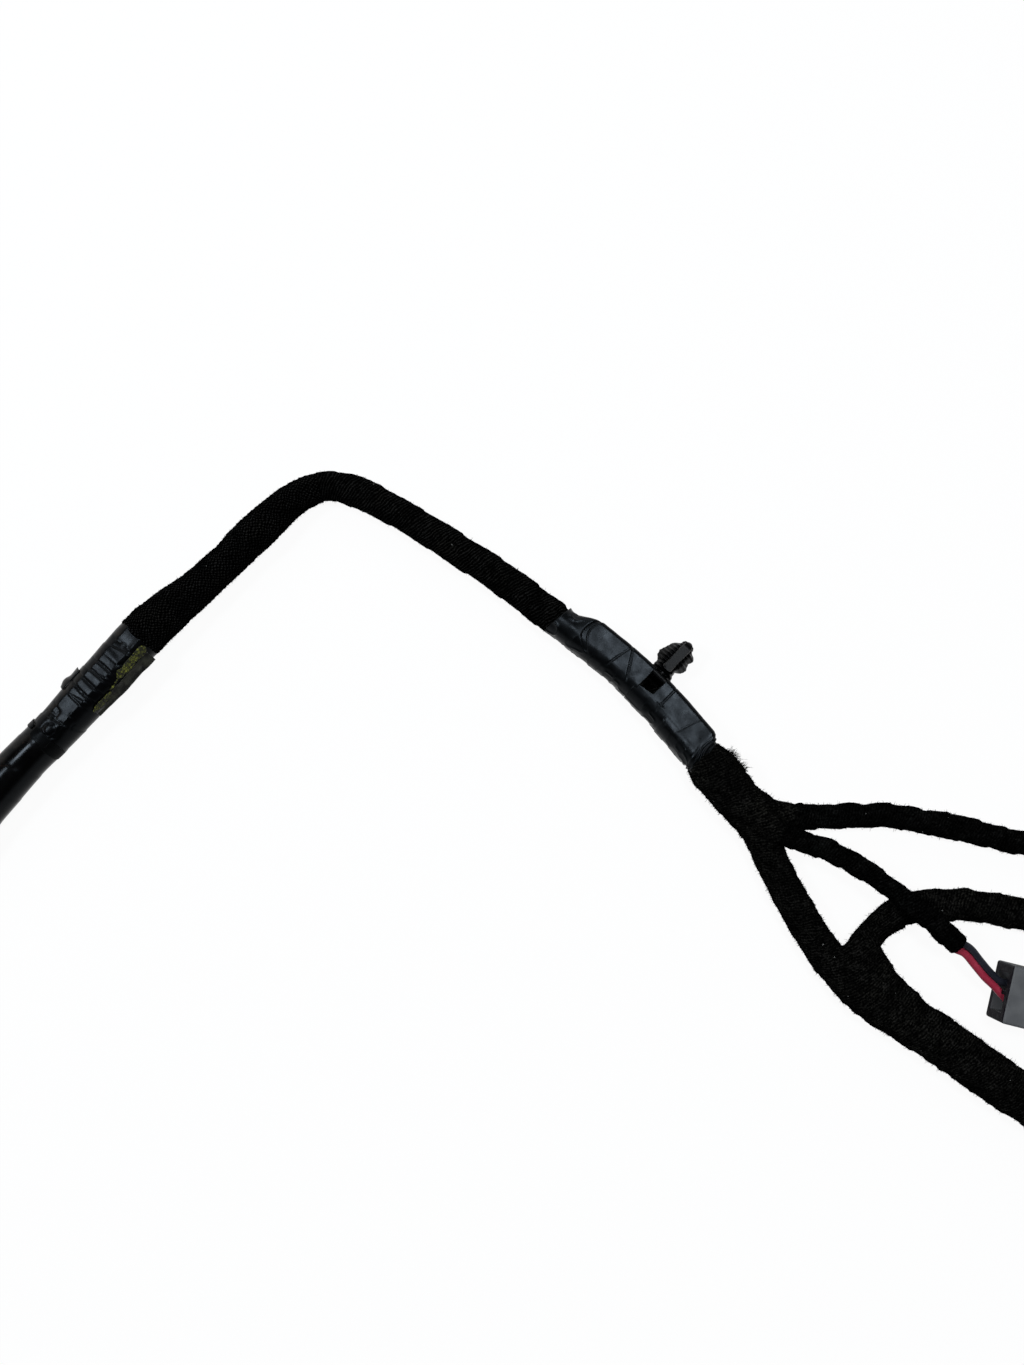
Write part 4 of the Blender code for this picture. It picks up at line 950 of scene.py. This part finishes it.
def section_ring(centre, side, outline):
    """Stands an outline of side and height pairs at a point."""
    return centre + side * outline[:, :1] + UP * outline[:, 1:]


def tube_rings(route, start, end, radius):
    """Rings of a plain tube along a route; radius is a number or follows the share of the way and
    the distance."""
    distances = np.linspace(start, end, max(2, int((end - start) / 0.6) + 1))
    rows, spokes = around(route, distances, angles(32), level=False)
    share = (distances - start) / (end - start)
    reach = radius(share, distances) if callable(radius) else np.full(len(distances), radius)
    return rows[:, None, :3] + spokes * reach[:, None, None]


def fork_ring(distance, turned, mouth_side, circles):
    """A ring of a junction, turned as far as it says from the trunk's own side to its mouth's."""
    side = TRUNK.side(distance)[0] * (1 - turned) + mouth_side * turned
    side /= np.linalg.norm(side)
    return section_ring(TRUNK.centre(distance)[0], side, hull_outline(circles, 64))


def fused(name, bodies, voxel):
    """One closed skin round several overlapping closed bodies, with the crotches softened."""
    draft = add_mesh(name + "_draft", *gathered(bodies), FLEECE)
    remesh = draft.modifiers.new("fuse", "REMESH")
    remesh.mode = "VOXEL"
    remesh.voxel_size = voxel * MM
    soften = draft.modifiers.new("soften", "SMOOTH")
    soften.factor = 0.5
    soften.iterations = 9
    graph = bpy.context.evaluated_depsgraph_get()
    mesh = bpy.data.meshes.new_from_object(draft.evaluated_get(graph))
    bpy.data.objects.remove(draft)
    mesh.name = name
    mesh.materials.clear()
    mesh.materials.append(FLEECE)
    mesh.shade_smooth()
    return linked(name, mesh)


def trunk_places(points):
    """Distance along the trunk and angle round it for points near it."""
    samples = np.arange(290.0, TRUNK.length, 0.5)
    centres = TRUNK.centre(samples)
    near = np.linalg.norm(points[:, None, :2] - centres[None, :, :2], axis=2).argmin(axis=1)
    offset = points - centres[near]
    side = TRUNK.side(samples)[near]
    theta = np.arctan2(offset[:, 2], (offset * side).sum(axis=1))
    return samples[near] + (offset * TRUNK.travel(samples)[near]).sum(axis=1), theta


def fleece_over(item, seed):
    """Pushes a fused skin in and out as fleece tape, with soft turns."""
    mesh = item.data
    count = len(mesh.vertices)
    points, normals = np.zeros(count * 3), np.zeros(count * 3)
    mesh.vertices.foreach_get("co", points)
    mesh.vertex_normals.foreach_get("vector", normals)
    points = points.reshape(-1, 3) / MM + LAYOUT_CENTRE
    normals = normals.reshape(-1, 3)
    along, theta = trunk_places(points)
    turn = np.mod(along / FLEECE_PITCH - theta / (2 * math.pi), 1.0)
    height = (lapped(turn, FLEECE_STEP, FLEECE_LAP) + 0.20 * noise(points, 6.0, seed)
              + 0.17 * rough(points, 1.8, seed + 1) + 0.10 * noise(points, 0.7, seed + 4))
    points = points + normals * height[:, None]
    keep_off_floor(points)
    mesh.vertices.foreach_set("co", placed(points).ravel())
    mesh.update()
    store(item, np.stack([along, theta * 5.0, height], axis=1))
    return points, normals


def upper_junction():
    """Fleece round the trunk, the upper branch and the lead, drawn in round each as it leaves.
    A circle that it is pulled round has its side, height and radius."""
    start, end = CLIP_TAPE_END - 1.2, JUNCTION_MOUTH_UPPER
    mouth = TRUNK.centre(end)[0]
    mouth_side = np.array((0.60, 0.80, 0.0))
    upper = np.array(BRANCH_UPPER_ROWS[0]) - mouth
    lead = np.array(LEAD_ROWS[0]) - mouth
    rings = []
    for distance in np.linspace(start, end, 22):
        ease = ((distance - start) / (end - start))**2
        gather = 1.5 * (1 - smooth(distance, start, start + 5.5))
        circles = [(0.0, 0.0, 6.4 - 1.8 * ease - gather)]
        for place, radius in ((upper, 3.3), (lead, 2.9)):
            circles.append((place @ mouth_side * ease, place[2] * ease, radius))
        circles.append((1.6 * (1 - ease), 0.0, 5.0 - 0.6 * gather - 1.5 * ease))
        rings.append(fork_ring(distance, ease, mouth_side, circles))
    cuff = 5.5
    bodies = [np.array(rings),
              tube_rings(TRUNK, end - 6, end + cuff, lambda t, d: 4.75 - 0.25 * t),
              tube_rings(UPPER_LEG, 0, 7.4 + cuff, lambda t, d: 4.2 - 0.9 * t),
              tube_rings(LEAD_LEG, 0, 8.4 + cuff, lambda t, d: 3.5 - 0.65 * t)]
    item = fused("fleece_junction_upper", bodies, 0.4)
    points, normals = fleece_over(item, 121)
    finish_piece(item, "fleece_tape", "junction_wrap_upper")
    fibres("junction_upper_fibres", points, normals, 2400, (0.25, 1.2), 0.035, 104, "fleece_tape")
    tuft = np.linalg.norm(points[:, :2] - np.array((56.5, -20.8)), axis=1) < 3.2
    tuft &= points[:, 2] > 4.0
    fibres("junction_tuft", points[tuft], normals[tuft], 320, (0.6, 2.6), 0.04, 105, "fleece_tape",
           lean=0.7)


def lower_junction():
    """Fleece that takes in the lower branch, then goes on over the trunk to its right end."""
    start, merge = JUNCTION_MOUTH_LOWER, 36.0
    mouth_side = np.array((0.97, 0.25, 0.0)) / math.hypot(0.97, 0.25)
    spread = (np.array(BRANCH_LOWER_ROWS[0]) - TRUNK.centre(start)[0]) @ mouth_side
    rings = []
    for distance in np.linspace(start, TAPE_END, 92):
        ease = max(0.0, 1.0 - (distance - start) / merge)
        circles = [(0.0, 0.0, TRUNK.at(distance)[0, 3]),
                   ((spread + 0.4) * ease, 0.0, 4.4 - 0.3 * ease)]
        rings.append(fork_ring(distance, ease**2, mouth_side, circles))
    bodies = [np.array(rings),
              tube_rings(TRUNK, start - 5.0, start + 4.0, lambda t, d: 4.45 + 0.15 * t),
              tube_rings(LOWER_LEG, 0, LOWER_LEG.length - 4.0,
                         lambda t, d: 3.45 + 0.6 * (1 - smooth(d, 2, 8)) + 0.6 * smooth(d, 12, 20))]
    item = fused("fleece_junction_lower", bodies, 0.45)
    points, normals = fleece_over(item, 131)
    finish_piece(item, "fleece_tape", "junction_wrap_lower")
    fibres("junction_lower_fibres", points, normals, 5200, (0.25, 1.1), 0.035, 106, "fleece_tape")


# Branches and wires


def declare_cord(route, length, points):
    """Works out the path of a free cord along a route, in metres, and does nothing more with it."""
    path = placed(route.centre(np.linspace(0.0, length, points)))


def branch(name, node, route, radius, seed, far_end, material, pitch=BRANCH_PITCH,
           seen=None):
    """A taped branch from its junction to its connector. Seen is the route of its tape, where
    that isn't the cord's own: there it also starts thinner."""
    length = route.length if far_end == "bare" else route.length - SEAM_GAP
    skin = seen or route
    relief = branch_relief(seed, pitch, 0.7 if seen else 0.0)
    item, outer, spokes = wound(name, 0.0, length - route.length + skin.length, 0.35, 72, material,
                                relief, skin, radius, min(1.0, radius * 0.4), level=False)
    finish_piece(item, "fleece_tape", node)
    declare_cord(route, length, 60)
    fibres(name + "_fibres", outer, spokes, int(length * radius * 6.0), (0.25, 1.1), 0.035, seed + 9,
           "fleece_tape")


def lead_wire(name, node, material, slot, offset, tail, seen):
    """One lead wire, inside the sheath and then free to the connector. Tail is the end of the cord's
    route and seen the end of the wire's skin, which lies a little nearer to the other wire."""
    rows = LEAD.rows[:, :3] + LEAD.side(LEAD.knots) * offset
    route, skin = (Route(np.concatenate([rows, np.array(end)])) for end in (tail, seen))
    item = solid(name, tube_rings(skin, 0.0, skin.length, LEAD_WIRE_DIAMETER / 2 + 0.03), material)
    finish_piece(item, slot, node)
    declare_cord(route, route.length, 70)


# Clip and its tape


def bar_share(distances):
    """How far the tape stands off over the clip's bar: 0 beside it, 1 on it."""
    half = BAR_LENGTH / 2
    return smooth(distances, CLIP_TAPE_START - 0.3, CLIP_AT - half + 1.2)**0.6 * smooth(
        -distances, -(CLIP_TAPE_END + 3.2), -(CLIP_TAPE_END - 4.6))


CLIP_TAPE_STEP = 0.2


def tape_sections(start, end, grow, count):
    """Outlines of the clip's tape, one for each step along the trunk."""
    distances = np.linspace(start, end, int((end - start) / CLIP_TAPE_STEP) + 1)
    rows, side = TRUNK.at(distances), TRUNK.side(distances)
    rings = []
    for index, share in enumerate(bar_share(distances)):
        out = (BAR_OFFSET + BAR_THICKNESS - TAPE_CORNER) * share
        reach = (BAR_HEIGHT / 2 - TAPE_CORNER) * (0.45 + 0.55 * share)
        circles = [(0.0, 0.0, rows[index, 3] - 0.1), (out, reach, TAPE_CORNER),
                   (out, -reach, TAPE_CORNER)]
        outline = hull_outline(circles, count, grow)
        rings.append(section_ring(rows[index, :3], side[index], outline))
    return distances, np.array(rings)


def tape_relief(points, spread, across, seed):
    """Soft folds of the clip's tape. Across is the way round it, as a share from 0 to 1: it starts
    at the underside, the outer face goes from 0.18 to 0.41 and the flat top on to 0.59."""
    def folded(length, width, more):
        spots = np.stack([spread / length, across * width, 0 * spread], -1)
        return noise(spots, 1.0, seed + more)

    cracks = (1 - np.abs(folded(2.6, 18, 1)))**4
    loop = (1 - np.abs(folded(4.5, 8, 4)))**4
    below = smooth(across, 0.63, 0.69)
    bunch = smooth(spread, CLIP_TAPE_END - 4.2, CLIP_TAPE_END - 1.5)
    start = smooth(-spread, -CLIP_TAPE_START - 8.0, -CLIP_TAPE_START - 3.0)
    ribs = np.sin(2 * math.pi * (spread - 8.0 * across + 0.9 * noise(points, 3.5, seed + 2)) / 1.4)
    groove = CLIP_AT - BAR_LENGTH / 2 - 1.7 + 1.0 * ((across - 0.50) / 0.09)**2
    groove = np.exp(-((spread - groove) / 0.42)**2)
    groove = groove * smooth(-across, -0.68, -0.62) * smooth(across, 0.3, 0.38)
    return (0.22 * below * (cracks - 0.2) + 0.28 * bunch * ribs + 0.45 * start * (loop - 0.2)
            - 1.25 * groove + 0.22 * folded(9.0, 5, 0) + 0.08 * rough(points, 5.5, seed + 5))


def crease(spread, across, at, slant, depth):
    """A fine line pressed into the tape across its flat top."""
    inside = smooth(-across, -0.66, -0.60) * smooth(across, 0.36, 0.40)
    return -depth * inside * np.exp(-((spread - at - slant * (across - 0.50)) / 0.17)**2)


def clip_tape(name, node, start, end, grow, seed, edges, steps, creases, lap=0.0):
    """Film pulled tight over the trunk and one wing of the clip's bar.

    Edges give, for the way round, how far the tape's first and last edge move along the trunk;
    steps are places where one more layer begins, each with its height and slant; creases are fine
    lines, each with its place, slant and depth; lap is one layer more on the trunk's side."""
    count = 176
    across = np.arange(count) / count
    first, last = edges(across)
    low, high = start + min(first.min(), 0.0), end + max(last.max(), 0.0)
    table_at, table = tape_sections(low, high, grow, count)
    rows = int((end - start) / CLIP_TAPE_STEP) + 1
    share = np.linspace(0, 1, rows)[:, None]
    spread = (start + first)[None] * (1 - share) + (end + last)[None] * share
    place = np.clip((spread - low) / (table_at[1] - table_at[0]), 0, len(table_at) - 1.001)
    index = place.astype(int)
    blend = (place - index)[..., None]
    column = np.arange(count)[None]
    rings = table[index, column] * (1 - blend) + table[index + 1, column] * blend
    axis = TRUNK.centre(spread.ravel()).reshape(rings.shape)
    out = unit(rings - axis)
    height = tape_relief(rings, spread, np.broadcast_to(across, spread.shape), seed)
    for at, rise, slant in steps:
        edge = at + slant * (across[None] - 0.7) + 0.25 * noise(rings, 3.0, seed + 11)
        begun = smooth(spread, edge - 0.12, edge + 0.12)
        height = height + rise * begun * smooth(across[None], 0.6, 0.66)
    for at, slant, depth in creases:
        height = height + crease(spread, across[None], at, slant, depth)
    height = height + lap * smooth(across, 0.60, 0.66)[None]
    outer = rings + out * height[..., None]
    keep_off_floor(outer)
    every = thinned(rows, 5)
    inner = rings[every] - out[every] * 0.3
    wraps = np.stack(np.broadcast_arrays(spread, across[None] * 36.0, height), -1)
    finish_piece(shell(name, outer, inner, CLIP_PVC, wraps), "clip_pvc", node)


def left_wing_edges(across):
    """The left half's edges: a little slanted, and cut square at the window."""
    return 0.9 * np.sin(2 * math.pi * across), -0.5 * np.cos(2 * math.pi * across)


def right_wing_edges(across):
    """The right half's edges: it reaches back past the window, all but on the flat top."""
    below = smooth(across, 0.565, 0.60) + smooth(-across, -0.19, -0.14)
    return -5.2 * below + 0.4 * np.cos(2 * math.pi * across), 0.5 * np.sin(2 * math.pi * across)


def stud_frame():
    """Foot point on the bar's outer face and the stud's own three directions."""
    side = TRUNK.side(CLIP_AT)[0]
    foot = TRUNK.centre(CLIP_AT)[0] + side * (BAR_OFFSET + BAR_THICKNESS)
    return foot, TRUNK.travel(CLIP_AT)[0], side


# Distances out from the bar, each with the half width of the stud's fins there
LOBES_LEFT = [(0.4, 3.2), (2.3, 3.2), (3.2, 4.2), (4.6, 4.6), (6.6, 3.9), (8.1, 3.5), (9.2, 2.4),
              (10.0, 1.2)]
LOBES_RIGHT = [(0.1, 3.4), (1.9, 2.5), (2.9, 2.4), (3.8, 3.6), (5.2, 4.1), (6.2, 3.6), (6.9, 3.3),
               (8.2, 3.8), (9.1, 3.1), (9.8, 1.4)]


def lobes(distance):
    """Half widths of the stud's fins to its left and right, at a distance out from the bar."""
    found = []
    for rows in (LOBES_LEFT, LOBES_RIGHT):
        places, widths = zip(*rows)
        ripple = 0.05 * np.sin(distance * 2 * math.pi / STUD_RIDGE_PITCH)
        found.append(np.interp(distance, places, widths) + ripple)
    return found


def clip():
    """The clip: its bar, and the stud's stem, fins and upright web."""
    foot, along, side = stud_frame()
    half = BAR_LENGTH / 2 - 3.0
    distances = np.linspace(CLIP_AT - half, CLIP_AT + half, 80)
    sides = TRUNK.side(distances)
    rows = TRUNK.at(distances)
    low, high = -BAR_HEIGHT / 2 + BAR_CORNER + 0.2, BAR_HEIGHT / 2 - BAR_CORNER - 0.2
    near, far = BAR_OFFSET + BAR_CORNER, BAR_OFFSET + BAR_THICKNESS - BAR_CORNER
    outline = hull_outline([(near, low, BAR_CORNER), (far, low, BAR_CORNER), (far, high, BAR_CORNER),
                            (near, high, BAR_CORNER)], 40)
    bar = np.array([section_ring(rows[i, :3], sides[i], outline) for i in range(len(distances))])
    theta = angles(48)
    spoke = along * np.cos(theta)[:, None] + UP * np.sin(theta)[:, None]
    stem = [(1.8, -0.6), (1.8, STUD_LENGTH - 0.8), (1.4, STUD_LENGTH - 0.2), (0.7, STUD_LENGTH)]
    stem = np.array([foot + side * level + spoke * radius for radius, level in stem])

    def slice_at(level, circles, count):
        flat = hull_outline(circles, count)
        return foot + side * level + along * flat[:, :1] + UP * flat[:, 1:]

    out = np.linspace(0.3, 9.9, 130)
    ridge = 0.34 * np.sin(out * 2 * math.pi / STUD_RIDGE_PITCH + 0.6)
    drops = 3.3 * np.sqrt(np.clip(1 - ((out - 5.0) / 5.4)**2, 0.05, 1)) + ridge
    fins = []
    for level, left, right, drop in zip(out, *lobes(out), drops):
        circles = [(-left + 0.5, 0.0, 0.5), (right - 0.5, 0.0, 0.5), (-0.35 * left, drop - 1.2, 1.2),
                   (0.35 * right, drop - 1.2, 1.2), (0.0, -drop + 1.2, 1.2)]
        fins.append(slice_at(level, circles, 48))
    web = []
    for level in np.linspace(1.5, STUD_LENGTH - 0.1, 40):
        tip = math.sqrt(max(0.02, 1 - max(0.0, (level - 9.0) / 1.95)**2))
        base = min(1.0, 0.75 + (level - 1.5) * 0.5)
        wide, tall, edge = 1.3 * tip * base, 4.2 * (0.55 + 0.45 * tip), 0.22 * tip
        web.append(slice_at(level, [(a * (wide - edge), b * (tall - edge), edge)
                                    for a in (-1, 1) for b in (-1, 1)], 40))
    bodies = [bar] + [np.array(rings)[:, ::-1] for rings in (stem, fins, web)]
    item = add_mesh("push_in_clip", *gathered(bodies), NYLON)
    item.data.set_sharp_from_angle(angle=math.radians(40))
    finish_piece(item, "black_nylon", "fir_tree_clip")


# Connectors


def paint(name, material):
    """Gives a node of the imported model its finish."""
    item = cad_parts[name]
    item.data.materials.clear()
    item.data.materials.append(material)


def lead_housing_finish():
    """Grey plastic whose rear face, round the wires, is painted dark and streaked as its shade."""
    finish = Finish("lead_housing_grey", {"Roughness": 0.55, "IOR": 1.06})
    mottle = finish.clouds(4.0, 3.0, 0.4, 0.7)
    tone = finish.mix(finish.times(mottle, 0.6), (0.090, 0.091, 0.094), (0.135, 0.136, 0.137))
    # Painted shade: the rear face, turned away from the lamps, is coloured dark with streaks.
    rear = finish.facing((-1.0, 0.0, 0.0), 0.45, 0.85)
    streak = finish.clouds(1.0, 5.0, 0.40, 0.70)
    painted_rear_shade = finish.mix(streak, (0.0070, 0.0055, 0.0080), (0.0240, 0.0230, 0.0250))
    finish.colour(finish.mix(rear, tone, painted_rear_shade))
    finish.bump(finish.noise(0.35, 4.0), 0.03, 0.6)
    return finish.material


def connectors():
    """Finishes of the connectors' pieces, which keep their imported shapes."""
    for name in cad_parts:
        if name.endswith("connector_housing"):
            paint(name, lead_housing_finish() if name.startswith("lead") else BLACK_PLASTIC)
        elif name.endswith("_cover"):
            paint(name, COVER_PLASTIC)
        elif "_seal" in name:
            paint(name, SEAL)
        elif "_contact" in name:
            paint(name, METAL)
    paint("trunk_bundle", BUNDLE)


# Room


def floor():
    """Pale floor that shows white to the camera and keeps the object's shadow."""
    finish = Finish("floor_white", {"Base Color": (0.92, 0.92, 0.92, 1.0), "Roughness": 0.9,
                                    "Specular IOR Level": 0.1})
    glow = finish.add("ShaderNodeEmission", {"Color": (1.0, 1.0, 1.0, 1.0)})
    finish.blend("Material Output", finish.times(finish.white_rays(), 0.94),
                 finish.shader.outputs["BSDF"], glow.outputs["Emission"])
    reach = 3.0
    corners = np.array([(-reach, -reach, 0), (reach, -reach, 0), (reach, reach, 0), (-reach, reach, 0)])
    add_mesh("floor", corners, [(0, 1, 2, 3)], finish.material)


def surroundings():
    """Faint even light; the rays that show the background find it white low down, darker above."""
    world = bpy.data.worlds.new("studio")
    bpy.context.scene.world = world
    world.use_nodes = True
    studio = Nodes(world.node_tree)
    sky = studio.nodes["Background"]
    sky.inputs["Color"].default_value = (0.92, 0.95, 1.0, 1.0)
    sky.inputs["Strength"].default_value = 0.10
    heading = studio.add("ShaderNodeTexCoord").outputs["Generated"]
    height = studio.add("ShaderNodeSeparateXYZ", {"Vector": heading}).outputs["Z"]
    shade = studio.add("ShaderNodeMapRange", {
        "Value": height, "From Min": math.sin(math.radians(14)),
        "From Max": math.sin(math.radians(34)), "To Min": 1.0, "To Max": 0.05})
    white = studio.add("ShaderNodeBackground", {"Color": shade.outputs["Result"]})
    studio.blend("World Output", studio.white_rays(), sky.outputs["Background"],
                 white.outputs["Background"])


def lamp(name, place, aim, size, power, colour):
    """A rectangular soft lamp: places and sizes in metres, power in watts."""
    data = bpy.data.lights.new(name, "AREA")
    data.shape = "RECTANGLE"
    data.size, data.size_y = size
    data.energy = power
    data.color = colour
    item = linked(name, data)
    item.location = place
    item.rotation_euler = (Vector(aim) - Vector(place)).to_track_quat("-Z", "Y").to_euler()


def camera():
    """The photograph's view: nearly from above."""
    tilt = math.radians(CAMERA_ELEVATION)
    data = bpy.data.cameras.new("camera")
    data.lens = CAMERA_LENS
    data.clip_start = 0.01
    item = linked("camera", data)
    item.location = Vector(placed((0.0, 0.0, 0.0))) + CAMERA_DISTANCE * Vector(
        (0, -math.cos(tilt), math.sin(tilt)))
    item.rotation_euler = (math.pi / 2 - tilt, 0.0, 0.0)
    bpy.context.scene.camera = item
    bpy.context.scene.view_settings.view_transform = "Standard"


floor()
surroundings()
lamp("right_softbox", (0.21, 0.17, 1.05), (0.02, 0, 0), (0.27, 0.18), 5.2, (0.88, 0.94, 1.0))
lamp("left_softbox", (-0.66, 0.18, 1.00), (-0.1, 0, 0), (0.27, 0.20), 5.8, (0.88, 0.94, 1.0))
lamp("window_light", (-0.25, 0.95, 0.65), (0, 0, 0), (1.1, 0.7), 5.2, (0.93, 0.97, 1.0))
camera()
branch("branch_upper_tape", "branch_upper", UPPER, BRANCH_UPPER_DIAMETER / 2, 201, "connector",
       DARK_FLEECE)
branch("branch_lower_tape", "branch_lower", LOWER, BRANCH_LOWER_DIAMETER / 2, 221, "connector",
       FLEECE, seen=LOWER_SEEN)
branch("lead_sheath_tape", "branch_lead_sheath", LEAD, LEAD_SHEATH_DIAMETER / 2, 241, "bare",
       DARK_FLEECE, LEAD_PITCH)
lead_wire("red_wire", "lead_wire_red", RED, "red_insulation", -LEAD_WIRE_SPREAD / 2, RED_TAIL_ROWS,
          RED_TAIL_SEEN)
lead_wire("blue_black_wire", "lead_wire_black", BLUE_BLACK, "blue_black_insulation",
          LEAD_WIRE_SPREAD / 2, BLACK_TAIL_ROWS, BLACK_TAIL_SEEN)
left_tape()
left_overwrap()
left_films()
textiles()
upper_junction()
lower_junction()
clip_tape("clip_tape_wing_left", "clip_tape_left", CLIP_TAPE_START, CLIP_AT - CLIP_WINDOW / 2, 0.10,
          301, left_wing_edges, (), ((CLIP_AT - 10.5, -9.0, 0.14), (CLIP_AT - 7.8, 18.0, 0.30)))
clip_tape("clip_tape_wing_right", "clip_tape_right", CLIP_AT + CLIP_WINDOW / 2, CLIP_TAPE_END, 0.24,
          311, right_wing_edges, ((CLIP_AT + 9.0, 0.20, 4.0),),
          ((CLIP_AT + 5.2, 2.0, 0.16), (CLIP_AT + 14.0, -8.0, 0.08)), 0.20)
clip()
connectors()
